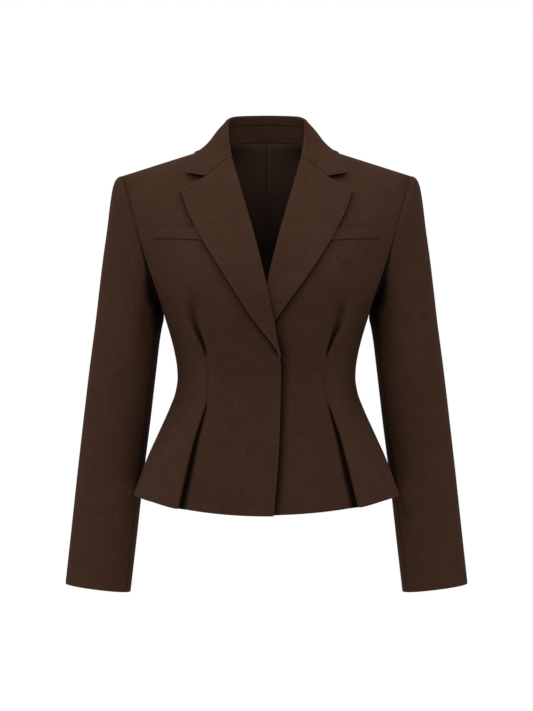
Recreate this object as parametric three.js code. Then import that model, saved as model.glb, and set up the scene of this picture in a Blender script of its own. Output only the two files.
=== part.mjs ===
// A cropped, waisted jacket with a notched collar, filled out as it is when worn.
// Millimetres. +X is the wearer's left, -Y the front, +Z up.
// The origin is in the middle of the neck, at the height of the shoulders' inner ends.
// Every panel is a thin wall on one torso form: horizontal sections whose outlines are
// |x / half|^n + |y / depth|^n = 1, with half, depth and n read from a table by height.
import * as THREE from "three";

const CLOTH = 1.4;
const FACED = 2.0;
const WELT_CLOTH = 0.9;
const SEAM_GAP = 0.3;
const BROWN = 0x3b281f;

const SHOULDER = { endX: 208.3, endZ: -43.5, neckX: 62, neckZ: 4.5 };
const ARMPIT = { x: 157.5, z: -215 };
const HEM = { sideZ: -503, frontDrop: 24, backDrop: 6, levelZ: -371 };
const BACK_NECK_Z = 11;
const NECK_TAPER = 0.3;
const BUST = { x: 80, z: -195, out: 14, wide: 45, high: 50 };
const LAPEL = { lift: 3.2, edgeLift: 1.4, roll: 3.0, topZ: -22, breakZ: -296 };
const COLLAR = {
  lift: 2.4,
  gorgeLift: 3.4,
  gorgeGap: 0.8,
  foldHalf: 1.6,
  standShare: 0.62,
  standEnd: 0.75,
  standGap: 1.0,
};

// half is the half width, frontY and backY are the centre front and centre back,
// centreY is where the section is widest, and the last two say how square it is.
const TORSO = table(
  ["z", "half", "frontY", "backY", "centreY", "frontPower", "backPower"],
  [
    [-540, 203, -135, 133, -32, 2.3, 2.2],
    [-503, 189.5, -129, 126, -30, 2.3, 2.2],
    [-479, 181, -124, 120, -25, 2.3, 2.2],
    [-450, 170.5, -117, 111, -18, 2.3, 2.3],
    [-415, 155, -108, 101, -9, 2.3, 2.4],
    [-380, 139.5, -99, 88, -2, 2.3, 2.5],
    [-357, 131.3, -93, 81, 3, 2.3, 2.5],
    [-336, 128.3, -90, 78, 5, 2.3, 2.5],
    [-322, 129, -91, 78, 5, 2.3, 2.5],
    [-299, 132.7, -94, 81, 5, 2.3, 2.5],
    [-276, 138.5, -100, 85, 5, 2.3, 2.5],
    [-252, 145.7, -107, 89, 5, 2.3, 2.6],
    [-215, 157.5, -116, 95, 5, 2.3, 2.6],
    [-185, 172.6, -114, 99, 5, 2.3, 2.6],
    [-150, 191.9, -106, 102, 5, 2.3, 2.6],
    [-118, 208.2, -93, 101, 6, 2.3, 2.6],
    [-80, 218.5, -72, 95, 7, 2.25, 2.2],
    [-60, 215.6, -58, 89, 8, 2.15, 2.0],
    [-43.5, 208.3, -45, 84, 8, 2.0, 1.9],
    [-20, 136.6, -29, 77, 8, 2.0, 1.8],
    [4.5, 62, -12, 69, 8, 2.0, 1.8],
    [60, 50, -10, 66, 8, 2.0, 1.8],
  ],
);

// The free front edge and, above the lapel's break, the line the lapel rolls on.
const FRONT_EDGE = table(
  ["z", "x"],
  [
    [-530, -9.5],
    [-476, -14.3],
    [-416, -18.1],
    [-327, -20.3],
    [-304, -18.6],
    [-282, -12.4],
    [-254, -6.2],
    [-228, -0.6],
    [-203, 4.8],
    [-180, 9.8],
    [-138, 19],
    [-98, 29.2],
    [-52, 42],
    [-22, 50.3],
    [4.5, 62],
  ],
);

// The tuck: where it lies, how far it laps under, how much its folded edge stands up and
// the cloth beside it sinks, and how far from the fold that eases away.
// Between the heights of about -310 and -366 it is stitched shut and shows as a seam.
const TUCK = table(
  ["z", "x", "lap", "rise", "sink", "groove", "reach"],
  [
    [-520, 122, 26, 8.5, 1, 0, 92],
    [-476, 112.3, 22, 7, 1, 0, 84],
    [-446, 105.8, 18, 5.6, 1, 0, 74],
    [-419, 99.4, 13, 4.2, 1.2, 0, 56],
    [-395, 92.2, 7, 2.8, 1.6, 0, 36],
    [-383, 88.6, 3, 2.1, 1.8, 0, 24],
    [-376, 86.7, 0.6, 1.6, 1.8, 0, 18],
    [-369, 84.8, 0, 0.1, 0.4, 0.4, 14],
    [-358, 83.6, 0, 0, 0, 0.6, 14],
    [-342, 83, 0, 0, 0, 0.6, 14],
    [-318, 84.1, 0, 0, 0, 0.6, 14],
    [-308, 86.2, 0, 0.1, 0.4, 0.4, 14],
    [-301, 87.7, 0.6, 1.8, 1.8, 0, 18],
    [-294, 89, 3, 2.4, 2, 0, 26],
    [-280, 94, 6, 3.2, 2.4, 0, 36],
    [-266, 100.6, 4, 3.2, 2.2, 0, 40],
    [-254, 105, 0, 2.4, 1.6, 0, 40],
    [-240, 109.6, 0, 1.2, 0.8, 0, 40],
    [-222, 111.5, 0, 0, 0, 0, 40],
    [-118, 116, 0, 0, 0, 0, 40],
    [5, 135, 0, 0, 0, 0, 40],
  ],
);
const TUCK_SPREAD = 2.2;
// lap and step are shares of the tuck's own; spread is in units of TUCK_SPREAD.
const TUCK_FOLDS = table(
  ["lap", "spread", "step"],
  [
    [0, -1, 0],
    [0.5, -0.7, 0],
    [1, -0.35, 0],
    [1, -0.2, 0.45],
    [0.5, 0, 0.5],
    [0, 0.2, 0.55],
    [0, 0.35, 1],
    [0, 1, 1],
  ],
);

const FRONT_LEVELS = [
  -503, -480, -456, -432, -410, -394, -383, -376, -369, -357, -340, -322, -309, -302, -295,
  -284, -270, -256, -240, -222, -200, -172, -140, -108, -80, -60, -49, -43.5,
];
const BACK_LEVELS = [
  -503, -470, -435, -400, -368, -336, -304, -270, -235, -200, -165, -130, -98, -72, -54,
  -43.5,
];
const FRONT_COLUMNS = { middle: 6, side: 6, crowd: 1.5 };
const BACK_COLUMNS = 9;

// How far the left front, which laps under the right one, lies inside the form.
const UNDERLAP = table(
  ["z", "in"],
  [
    [-530, 3.2],
    [-345, 3.2],
    [-300, 7.4],
    [-190, 7.4],
    [-120, 0],
    [5, 0],
  ],
);
const UNDERLAP_REACH = { full: 22, none: 82 };

// The lapel's free edge, from its point down to the break.
const LAPEL_EDGE = table(
  ["t", "x", "z"],
  [
    [0, 121.5, -70.3],
    [0.12, 110.6, -100.6],
    [0.21, 99.8, -122],
    [0.3, 89, -142.5],
    [0.4, 76, -162.7],
    [0.5, 61.9, -184.8],
    [0.59, 49.4, -204.4],
    [0.68, 35.2, -225.8],
    [0.77, 21, -247],
    [0.86, 6.8, -266.9],
    [0.94, -6, -282.4],
    [1, -13.4, -293],
  ],
);
// The lapel's top: the gorge seam as far as the notch, then straight to the point.
const LAPEL_TOP = table(
  ["x", "z"],
  [
    [50.3, -22],
    [60, -26.4],
    [72, -36.2],
    [86, -49.8],
    [121.5, -70.3],
  ],
);
const LAPEL_TOP_REACH = 45;
const NOTCH_X = 86;
// The turn of the lapel, and of the collar beside it, in shares of the roll and the lift.
const ROLL = table(
  ["along", "out"],
  [
    [-0.05, 0],
    [-0.65, 0.14],
    [-1, 0.5],
    [-0.65, 0.86],
  ],
);
const LAPEL_ACROSS = [0, 0.05, 0.13, 0.215, 0.3, 0.41, 0.51, 0.68, 0.84, 1];

// The collar from the centre back (w = 0) to the gorge (w = 1): its seam with the body,
// the top of its fold, and its falling edge.
const COLLAR_LINES = table(
  ["w", "neckX", "neckY", "neckZ", "foldX", "foldY", "foldZ", "edgeX", "edgeY", "edgeZ"],
  [
    [0, 0, 69.5, 14.5, 0, 75, 52, 0, 81, 0],
    [0.18, 24, 65, 13.5, 24, 72, 52, 33, 78, -0.5],
    [0.36, 45, 49, 10.5, 43, 60, 51, 62.5, 64, -2],
    [0.52, 58, 27, 8.5, 53, 40, 46, 86, 43, -4],
    [0.66, 62, 7, 8.2, 55.5, 15, 36, 100, 14, -6.5],
    [0.8, 60, -7, 3, 53.5, -6, 13, 105.3, -8, -17.5],
    [0.9, 56.5, -17, -6, 51, -19, -4, 110, -20, -31.5],
    [1, 50.3, -27.5, -21.5, 47.6, -31, -21, 115.2, -28, -45.4],
  ],
);
const COLLAR_ON_FORM_W = 0.74;
const COLLAR_COLUMNS = [0.09, 0.18, 0.27, 0.36, 0.45, 0.53, 0.6, 0.67, 0.74, 0.8, 0.86, 0.92, 0.96, 1];
const COLLAR_LEAF = [0.08, 0.175, 0.26, 0.355, 0.46, 0.5635, 0.72, 0.87, 1];
// How far the collar's falling side bulges out between its fold and its edge.
const COLLAR_BULGE = table(
  ["w", "out"],
  [
    [0, 3],
    [0.25, 1],
    [0.5, -4.5],
    [0.66, -4],
    [0.8, 0],
    [1, 0],
  ],
);

const WELT = { outerX: 160, innerX: 84, topZ: -120, height: 18.4, fall: 5 };
const WELT_REST = 0.45;
const WELT_COLUMNS = 8;

// Each ring runs from its outer point to its inner point, seen from the front.
const SLEEVE = table(
  ["t", "outerX", "outerZ", "innerX", "innerZ", "centreY", "front", "back"],
  [
    [0, 208.6, -43.6, 157.8, -215.1, 6, 52, 55],
    [0.02, 213, -44.6, 157.9, -217.3, 7.5, 54, 57],
    [0.045, 218, -48.5, 157.5, -219.6, 10, 55, 58.5],
    [0.08, 223, -60, 156.2, -223.2, 14, 56, 59.5],
    [0.12, 226.8, -79, 154.3, -228.5, 19, 57, 60.5],
    [0.18, 232.2, -118, 151.2, -237, 25, 57.5, 61],
    [0.25, 238.4, -160, 151, -248, 29, 57, 60],
    [0.33, 244.2, -206, 153.8, -262, 32, 56, 58.5],
    [0.41, 249.8, -254, 156.8, -279, 34, 55, 57],
    [0.52, 257.8, -314, 162.8, -328, 38, 53, 54],
    [0.64, 267, -385, 171.3, -398, 46, 50, 50],
    [0.76, 276.6, -464, 181.4, -477, 52, 45, 45],
    [0.88, 286, -550, 191, -563, 53, 40, 40],
    [1, 295.6, -639.5, 201, -651.5, 50, 35, 35],
  ],
);
const SLEEVE_RINGS = [
  0, 0.02, 0.045, 0.08, 0.12, 0.18, 0.25, 0.33, 0.42, 0.52, 0.64, 0.76, 0.88, 1,
];
const SLEEVE_POWER = 2.15;
const SLEEVE_SEAMS = { front: 2.62, back: 4.05 };
const SLEEVE_COLUMNS = { upper: 18, under: 6 };
// The angle left open on each side of a sleeve seam.
const SLEEVE_TRIM = { armhole: 0.018, cuff: 0.006 };

// Rows of numbers as columns with names.
function table(names, rows) {
  return Object.fromEntries(names.map((name, i) => [name, rows.map((row) => row[i])]));
}

// A smooth curve through a table's points that never overshoots them: cubic pieces whose
// slopes are harmonic means of their neighbours'.
function curveThrough(xs, ys) {
  const last = xs.length - 1;
  const step = xs.slice(1).map((x, i) => x - xs[i]);
  const rise = step.map((h, i) => (ys[i + 1] - ys[i]) / h);
  const slope = xs.map((_, i) => {
    if (i === 0) return rise[0];
    if (i === last) return rise[last - 1];
    if (rise[i - 1] * rise[i] <= 0) return 0;
    const before = 2 * step[i] + step[i - 1];
    const after = step[i] + 2 * step[i - 1];
    return (before + after) / (before / rise[i - 1] + after / rise[i]);
  });
  return (x) => {
    const at = Math.min(xs[last], Math.max(xs[0], x));
    let i = 0;
    while (i < last - 1 && at > xs[i + 1]) i += 1;
    const t = (at - xs[i]) / step[i];
    const bend = t * t * (3 - 2 * t);
    const start = t * (1 - t) * (1 - t) * step[i] * slope[i];
    const end = t * t * (t - 1) * step[i] * slope[i + 1];
    return ys[i] * (1 - bend) + ys[i + 1] * bend + start + end;
  };
}

function curves(columns, by) {
  const names = Object.keys(columns).filter((name) => name !== by);
  return Object.fromEntries(names.map((n) => [n, curveThrough(columns[by], columns[n])]));
}

const mix = (a, b, t) => a + (b - a) * t;
const clamp01 = (t) => Math.min(1, Math.max(0, t));
const easeBetween = (low, high, v) => {
  const t = clamp01((v - low) / (high - low));
  return t * t * (3 - 2 * t);
};
const vector = (x, y, z) => new THREE.Vector3(x, y, z);

const torso = curves(TORSO, "z");
const frontEdge = curves(FRONT_EDGE, "z");
const tuck = curves(TUCK, "z");
const underlap = curves(UNDERLAP, "z");
const lapelEdge = curves(LAPEL_EDGE, "t");
const lapelTop = curves(LAPEL_TOP, "x");
const collarBulge = curves(COLLAR_BULGE, "w");
const collarLines = curves(COLLAR_LINES, "w");
const sleeve = curves(SLEEVE, "t");

const SHOULDER_SLOPE =
  (SHOULDER.neckZ - SHOULDER.endZ) / (SHOULDER.neckX - SHOULDER.endX);
const ARMHOLE_SLOPE = (SHOULDER.endX - ARMPIT.x) / (SHOULDER.endZ - ARMPIT.z);
// The armhole lies in one plane, upright from front to back, that leans out at the top.
const ARMHOLE_NORMAL = vector(1, 0, -ARMHOLE_SLOPE).normalize();

function shoulderZ(x) {
  return SHOULDER.neckZ + SHOULDER_SLOPE * (x - SHOULDER.neckX);
}

function topLineZ(x, back) {
  if (x >= SHOULDER.neckX) return shoulderZ(x);
  const share = 1 - (x / SHOULDER.neckX) ** 2;
  return back ? mix(SHOULDER.neckZ, BACK_NECK_Z, share) : SHOULDER.neckZ;
}

function armholeX(z) {
  return ARMPIT.x + ARMHOLE_SLOPE * (z - ARMPIT.z);
}

// Above the shoulders' outer ends the section shrinks along the shoulder line to the neck.
function halfWidth(z) {
  if (z <= SHOULDER.endZ) return torso.half(z);
  if (z <= SHOULDER.neckZ) return SHOULDER.neckX + (z - SHOULDER.neckZ) / SHOULDER_SLOPE;
  return SHOULDER.neckX - NECK_TAPER * (z - SHOULDER.neckZ);
}

// The point of the torso form at x and z, and the way its surface faces there.
function formAt(x, z, back) {
  const half = halfWidth(z);
  const centre = torso.centreY(z);
  const depth = back ? torso.backY(z) - centre : centre - torso.frontY(z);
  const power = back ? torso.backPower(z) : torso.frontPower(z);
  const across = Math.min(1, Math.abs(x) / half);
  const rest = Math.max(0, 1 - across ** power);
  const out = rest ** (1 / power);
  const bust = back
    ? 0
    : BUST.out *
      (1 - across ** 4) *
      Math.exp(-(((Math.abs(x) - BUST.x) / BUST.wide) ** 2) / 2) *
      Math.exp(-(((z - BUST.z) / BUST.high) ** 2) / 2);
  const facing = back ? 1 : -1;
  const point = vector(x, centre + facing * (depth * out + bust), z);
  const rise = 1;
  const grow = (halfWidth(z + rise) - halfWidth(z - rise)) / (2 * rise);
  const edgeY = back ? torso.backY : torso.frontY;
  const deepen =
    (facing * (edgeY(z + rise) - torso.centreY(z + rise) - edgeY(z - rise) +
      torso.centreY(z - rise))) / (2 * rise);
  const nx = across ** (power - 1) / half;
  const ny = out ** (power - 1) / depth;
  const nz = -(across ** power * grow) / half - (out ** power * deepen) / depth;
  return { point, normal: vector(Math.sign(x) * nx, facing * ny, nz).normalize() };
}

// A line drawn on the form from innerX to outerX, measured along the cloth.
// It starts a little before innerX, so that a fold can reach past the edge.
function traceLine(innerX, outerX, zAt, back) {
  const lead = 8;
  const count = 90;
  const start = innerX - lead;
  const xs = [];
  const lengths = [0];
  let before = null;
  for (let i = 0; i <= count; i += 1) {
    const x = start + (outerX - start) * Math.sin((Math.PI / 2) * (i / count));
    const { point } = formAt(x, zAt(x), back);
    xs.push(x);
    if (before) lengths.push(lengths[i - 1] + point.distanceTo(before));
    before = point;
  }
  const read = (keys, values, key) => {
    let i = 0;
    while (i < keys.length - 2 && key > keys[i + 1]) i += 1;
    return mix(values[i], values[i + 1], (key - keys[i]) / (keys[i + 1] - keys[i]));
  };
  const zero = read(xs, lengths, innerX);
  return {
    length: lengths[count] - zero,
    alongAt: (x) => read(xs, lengths, x) - zero,
    xAt: (along) => read(lengths, xs, Math.min(along + zero, lengths[count])),
    at(along) {
      const x = this.xAt(along);
      return formAt(x, zAt(x), back);
    },
  };
}

// A path of (along, out) points moved sideways by d, with mitred corners.
function sidePath(path, d) {
  return path.map(([along, out], i) => {
    const [a0, o0] = path[Math.max(0, i - 1)];
    const [a1, o1] = path[Math.min(path.length - 1, i + 1)];
    const unit = (a, o) => {
      const size = Math.hypot(a, o) || 1;
      return [a / size, o / size];
    };
    const came = i === 0 ? unit(a1 - along, o1 - out) : unit(along - a0, out - o0);
    const goes = i === path.length - 1 ? came : unit(a1 - along, o1 - out);
    const [ta, to] = unit(came[0] + goes[0], came[1] + goes[1]);
    const stretch = Math.min(1.6, 1 / Math.max(0.2, ta * came[0] + to * came[1]));
    return [along - to * d * stretch, out + ta * d * stretch];
  });
}

// One row of a wall: the path's two sides, laid on a traced line of the form.
function wallRow(line, path, cloth) {
  const lay = (side) =>
    side.map(([along, out]) => {
      const { point, normal } = line.at(along);
      return point.addScaledVector(normal, out);
    });
  return { outer: lay(sidePath(path, cloth / 2)), inner: lay(sidePath(path, -cloth / 2)) };
}

// A closed wall from two grids of points with the same rows and columns.
function closedWall(rows) {
  const high = rows.length;
  const wide = rows[0].outer.length;
  const points = [];
  for (const side of ["outer", "inner"]) {
    for (const row of rows) points.push(...row[side]);
  }
  const outer = (i, j) => i * wide + j;
  const inner = (i, j) => high * wide + i * wide + j;
  const faces = [];
  const quad = (a, b, c, d) => faces.push(a, b, c, a, c, d);
  for (let i = 0; i < high - 1; i += 1) {
    for (let j = 0; j < wide - 1; j += 1) {
      quad(outer(i, j), outer(i, j + 1), outer(i + 1, j + 1), outer(i + 1, j));
      quad(inner(i, j), inner(i + 1, j), inner(i + 1, j + 1), inner(i, j + 1));
    }
  }
  for (let j = 0; j < wide - 1; j += 1) {
    quad(inner(0, j), inner(0, j + 1), outer(0, j + 1), outer(0, j));
    quad(outer(high - 1, j), outer(high - 1, j + 1), inner(high - 1, j + 1), inner(high - 1, j));
  }
  for (let i = 0; i < high - 1; i += 1) {
    quad(outer(i, 0), outer(i + 1, 0), inner(i + 1, 0), inner(i, 0));
    quad(inner(i, wide - 1), inner(i + 1, wide - 1), outer(i + 1, wide - 1), outer(i, wide - 1));
  }
  const geometry = new THREE.BufferGeometry().setFromPoints(points);
  geometry.setIndex(faces);
  return geometry;
}

// The same row walked the other way, for panels that face backwards.
function turned({ outer, inner }) {
  return { outer: outer.reverse(), inner: inner.reverse() };
}

// The same wall on the other side of the body.
function mirrored(rows) {
  const flip = (p) => vector(-p.x, p.y, p.z);
  return rows.map(({ outer, inner }) => ({
    outer: outer.map(flip).reverse(),
    inner: inner.map(flip).reverse(),
  }));
}

// Turns a wall's outer edge at the armhole into the armhole's plane.
function squareToArmhole(row, end) {
  const facing = end.normal;
  const flat = facing.clone().addScaledVector(ARMHOLE_NORMAL, -facing.dot(ARMHOLE_NORMAL));
  flat.normalize();
  const reach = CLOTH / 2 / Math.max(0.55, flat.dot(facing));
  const last = row.outer.length - 1;
  row.outer[last] = end.point.clone().addScaledVector(flat, reach);
  row.inner[last] = end.point.clone().addScaledVector(flat, -reach);
}

// A panel's row at one level: low down it follows the hem, and near the top it leans
// until it lies along the shoulder.
function levelLine(level, drop, back) {
  const outerX = level <= ARMPIT.z ? torso.half(level) : armholeX(level);
  const hemShare = clamp01((HEM.levelZ - level) / (HEM.levelZ - HEM.sideZ));
  const lean = easeBetween(ARMPIT.z, SHOULDER.endZ, level);
  const outerTop = topLineZ(outerX, back);
  const zAt = (x) => {
    const across = clamp01(Math.max(0, x) / outerX);
    const hem = -drop * hemShare * (1 - across ** 2);
    return level + hem + lean * (topLineZ(Math.max(0, x), back) - outerTop);
  };
  return { outerX, zAt };
}

// The x at which a level's row meets a line given by height.
function meet(lineX, zAt) {
  let x = lineX(zAt(0));
  for (let i = 0; i < 12; i += 1) x = lineX(zAt(x));
  return x;
}

function slipUnder(x, z) {
  const { full, none } = UNDERLAP_REACH;
  return -underlap.in(z) * (1 - easeBetween(full, none, x));
}

// A front: flat cloth from the free edge to the tuck, the tuck's three layers, and the
// side, whose folded edge stands up over the tuck and eases down to the side seam.
function frontRow(level, under) {
  const { outerX, zAt } = levelLine(level, HEM.frontDrop, false);
  const innerX = meet(frontEdge.x, zAt);
  const line = traceLine(innerX, outerX, zAt, false);
  const tuckX = meet(tuck.x, zAt);
  const z = zAt(tuckX);
  const tuckAt = line.alongAt(tuckX);
  const lap = tuck.lap(z);
  const rise = tuck.rise(z);
  const sink = tuck.sink(z);
  const start = level > LAPEL.breakZ ? SEAM_GAP / 2 : 0;
  const end = line.length - (level <= ARMPIT.z ? SEAM_GAP / 2 : 0);
  const { middle, side, crowd } = FRONT_COLUMNS;
  const fade = (distance) => 1 - easeBetween(0, tuck.reach(z), distance);
  const path = [];
  const middleEnd = tuckAt - TUCK_SPREAD;
  for (let i = 0; i < middle; i += 1) {
    const along = mix(middleEnd, start, (1 - i / middle) ** crowd);
    path.push([along, -sink * fade(middleEnd - along)]);
  }
  TUCK_FOLDS.lap.forEach((share, i) => {
    const spread = TUCK_FOLDS.spread[i];
    const sunk = sink + tuck.groove(z) * (1 - Math.abs(spread));
    const out = (rise + sink) * TUCK_FOLDS.step[i] - sunk;
    path.push([tuckAt + lap * share + TUCK_SPREAD * spread, out]);
  });
  const sideStart = tuckAt + TUCK_SPREAD;
  for (let i = 1; i <= side; i += 1) {
    const along = mix(sideStart, end, (i / side) ** crowd);
    path.push([along, rise * fade(along - sideStart)]);
  }
  if (under) {
    for (const p of path) {
      const x = line.xAt(p[0]);
      p[1] += slipUnder(x, zAt(x));
    }
  }
  const row = wallRow(line, path, CLOTH);
  if (level > ARMPIT.z) squareToArmhole(row, line.at(end));
  return row;
}

function backRow(level) {
  const { outerX, zAt } = levelLine(level, HEM.backDrop, true);
  const line = traceLine(0, outerX, zAt, true);
  const end = line.length - (level <= ARMPIT.z ? SEAM_GAP / 2 : 0);
  const path = [];
  for (let i = 0; i <= BACK_COLUMNS; i += 1) {
    path.push([mix(SEAM_GAP / 2, end, i / BACK_COLUMNS), 0]);
  }
  const row = wallRow(line, path, CLOTH);
  if (level > ARMPIT.z) squareToArmhole(row, line.at(end));
  return row;
}

// Moves the top row off the shoulder seam, towards its own panel.
function easeOffShoulder(rows, facing) {
  const top = rows[rows.length - 1];
  for (const p of [...top.outer, ...top.inner]) p.y += (facing * SEAM_GAP) / 2;
  return rows;
}

function frontPanel(under) {
  const rows = FRONT_LEVELS.map((level) => frontRow(level, under));
  return easeOffShoulder(rows, -1);
}

function backPanel() {
  return easeOffShoulder(BACK_LEVELS.map(backRow), 1).map(turned);
}

// How far the lapel's top lies above a straight line from the roll to the point.
function topBow(share) {
  const x = mix(frontEdge.x(LAPEL.topZ), lapelEdge.x(0), share);
  return lapelTop.z(x) - mix(LAPEL.topZ, lapelEdge.z(0), share);
}

// A row of the lapel: it starts beside the front's edge at rollZ, rolls out and back over
// it, and runs straight, seen from the front, to the free edge. Rows near the top bend
// with the gorge.
function lapelRow(rollZ, under) {
  const t = (LAPEL.topZ - rollZ) / (LAPEL.topZ - LAPEL.breakZ);
  const rollX = frontEdge.x(rollZ);
  const edgeX = lapelEdge.x(t);
  const edgeZ = lapelEdge.z(t);
  const bend = 1 - easeBetween(0, LAPEL_TOP_REACH, LAPEL.topZ - rollZ);
  const zAt = (x) => {
    const share = clamp01((x - rollX) / (edgeX - rollX));
    return mix(rollZ, edgeZ, share) + topBow(share) * bend;
  };
  const line = traceLine(rollX, edgeX, zAt, false);
  const { lift, roll, edgeLift } = LAPEL;
  const path = ROLL.along.map((share, i) => [share * roll, lift * ROLL.out[i]]);
  for (const share of LAPEL_ACROSS) {
    path.push([share * line.length, lift + edgeLift * share ** 2]);
  }
  if (under) {
    for (const p of path) {
      const x = line.xAt(p[0]);
      p[1] += slipUnder(x, zAt(x));
    }
  }
  return wallRow(line, path, FACED);
}

// The lapel's rows start where the front's rows end, so the two edges run side by side.
function lapelPanel(under) {
  const heights = FRONT_LEVELS.map((level) => {
    const { zAt } = levelLine(level, HEM.frontDrop, false);
    return zAt(meet(frontEdge.x, zAt));
  });
  const between = heights.filter((z) => z > LAPEL.breakZ + 4 && z < LAPEL.topZ - 4);
  const rows = [LAPEL.breakZ, ...between, LAPEL.topZ].map((z) => lapelRow(z, under));
  const top = rows[rows.length - 1];
  for (const p of [...top.outer, ...top.inner]) p.z -= SEAM_GAP / 2;
  return rows;
}

// Points along a curve of the collar, with x taken to the right side.
function collarPoint(name, w) {
  const side = Math.sign(w) || 1;
  const at = Math.abs(w);
  const [x, y, z] = ["X", "Y", "Z"].map((axis) => collarLines[name + axis](at));
  return vector(side * x, y, z);
}

// Moves a point out until it is at least lift away from the torso form. As hold grows to
// one, the point comes to lie at just that distance, over its own place on the form.
function restOnForm(p, lift, hold) {
  const side = Math.sign(p.x) || 1;
  const x = Math.min(Math.abs(p.x), halfWidth(p.z) * 0.999);
  const { point, normal } = formAt(x, p.z, p.y > torso.centreY(p.z));
  point.x *= side;
  normal.x *= side;
  const gap = p.clone().sub(point).dot(normal);
  p.addScaledVector(normal, Math.max(0, lift - gap));
  return p.lerp(point.addScaledVector(normal, lift), hold);
}

// The collar's turn at the gorge, where it carries on the lapel's.
function gorgeRoll(k, side) {
  const { point, normal } = formAt(frontEdge.x(LAPEL.topZ), LAPEL.topZ, false);
  const inward = vector(1, 0, 0).addScaledVector(normal, -normal.x).normalize();
  point.addScaledVector(inward, ROLL.along[k] * LAPEL.roll);
  point.addScaledVector(normal, ROLL.out[k] * COLLAR.gorgeLift);
  return point.set(side * point.x, point.y, point.z + COLLAR.gorgeGap);
}

// The height of the collar's front end: along the gorge to the notch, then to its point.
function frontEndZ(x, edge) {
  if (x < NOTCH_X) return lapelTop.z(x) + COLLAR.gorgeGap;
  const share = (x - NOTCH_X) / (Math.abs(edge.x) - NOTCH_X);
  return mix(lapelTop.z(NOTCH_X) + COLLAR.gorgeGap, edge.z, clamp01(share));
}

// The collar's mid surface from the stand seam, up its inner side, over the fold and
// down the fall. Near the front the fall lies on the body.
function collarSection(w) {
  const at = Math.abs(w);
  const side = Math.sign(w) || 1;
  const neck = collarPoint("neck", w);
  const fold = collarPoint("fold", w);
  const edge = collarPoint("edge", w);
  const up = fold.clone().sub(neck).normalize();
  const along = collarPoint("fold", at + 0.02).sub(collarPoint("fold", at - 0.02));
  along.x *= side;
  const out = along.cross(up).multiplyScalar(-side).normalize();
  const half = COLLAR.foldHalf;
  const share = COLLAR.standShare * (1 - easeBetween(0.55, 0.82, at));
  const seam = neck.clone().lerp(fold, share);
  const leg = fold.clone().addScaledVector(up, -half * 1.4).addScaledVector(out, -half);
  const turn = fold.clone().addScaledVector(up, -half * 1.4).addScaledVector(out, half);
  const onForm = easeBetween(COLLAR_ON_FORM_W, 1, at);
  const points = [seam, leg, fold, turn];
  points.forEach((p, k) => p.lerp(gorgeRoll(k, side), onForm ** 2));
  const lift = mix(COLLAR.lift, COLLAR.gorgeLift, onForm);
  const bulge = collarBulge.out(at);
  for (const r of COLLAR_LEAF) {
    const p = turn.clone().lerp(edge, r);
    p.addScaledVector(out, bulge * Math.sin(Math.PI * r));
    p.z = mix(p.z, frontEndZ(Math.abs(p.x), edge), onForm ** 2);
    points.push(restOnForm(p, lift, onForm));
  }
  return { points, inward: out.negate() };
}

// The way each point of a grid faces, from its neighbours.
function gridNormals(grid) {
  return grid.map((row, i) =>
    row.map((_, j) => {
      const up = grid[Math.min(grid.length - 1, i + 1)][j].clone();
      up.sub(grid[Math.max(0, i - 1)][j]);
      const across = row[Math.min(row.length - 1, j + 1)].clone();
      across.sub(row[Math.max(0, j - 1)]);
      return across.cross(up).normalize();
    }),
  );
}

function thickened(grid, cloth, normals) {
  return grid.map((row, i) => ({
    outer: row.map((p, j) => p.clone().addScaledVector(normals[i][j], cloth / 2)),
    inner: row.map((p, j) => p.clone().addScaledVector(normals[i][j], -cloth / 2)),
  }));
}

// Columns run from the right gorge, round the back, to the left gorge.
function collarWays() {
  return [...COLLAR_COLUMNS.map((w) => -w).reverse(), 0, ...COLLAR_COLUMNS];
}

function collarFall() {
  const sections = collarWays().map(collarSection);
  const grid = sections[0].points.map((_, k) => sections.map(({ points }) => points[k]));
  const normals = gridNormals(grid);
  normals[0] = sections.map(({ inward }) => inward);
  return thickened(grid, FACED, normals);
}

function collarStand() {
  const ways = collarWays().filter((w) => Math.abs(w) <= COLLAR.standEnd);
  const sections = ways.map(collarSection);
  const normals = sections.map(({ inward }) => inward);
  const grid = [0, 0.5, 1].map((share) =>
    ways.map((w, i) => {
      const [seam] = sections[i].points;
      const neck = collarPoint("neck", w);
      const top = seam.clone().lerp(neck, COLLAR.standGap / seam.distanceTo(neck));
      return neck.lerp(top, share);
    }),
  );
  return thickened(grid, FACED, [normals, normals, normals]);
}

function chestWelt(under) {
  const rows = [];
  for (const share of [0, 0.5, 1]) {
    const zAt = (x) => {
      const in01 = (WELT.outerX - x) / (WELT.outerX - WELT.innerX);
      return WELT.topZ - WELT.height * (1 - share) - WELT.fall * in01 ** 1.5;
    };
    const line = traceLine(WELT.innerX, WELT.outerX, zAt, false);
    const path = [];
    for (let i = 0; i < WELT_COLUMNS; i += 1) {
      const along = (line.length * i) / (WELT_COLUMNS - 1);
      const x = line.xAt(along);
      const rest = CLOTH / 2 + WELT_REST + WELT_CLOTH / 2;
      path.push([along, rest + (under ? slipUnder(x, zAt(x)) : 0)]);
    }
    rows.push(wallRow(line, path, WELT_CLOTH));
  }
  return rows;
}

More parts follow.
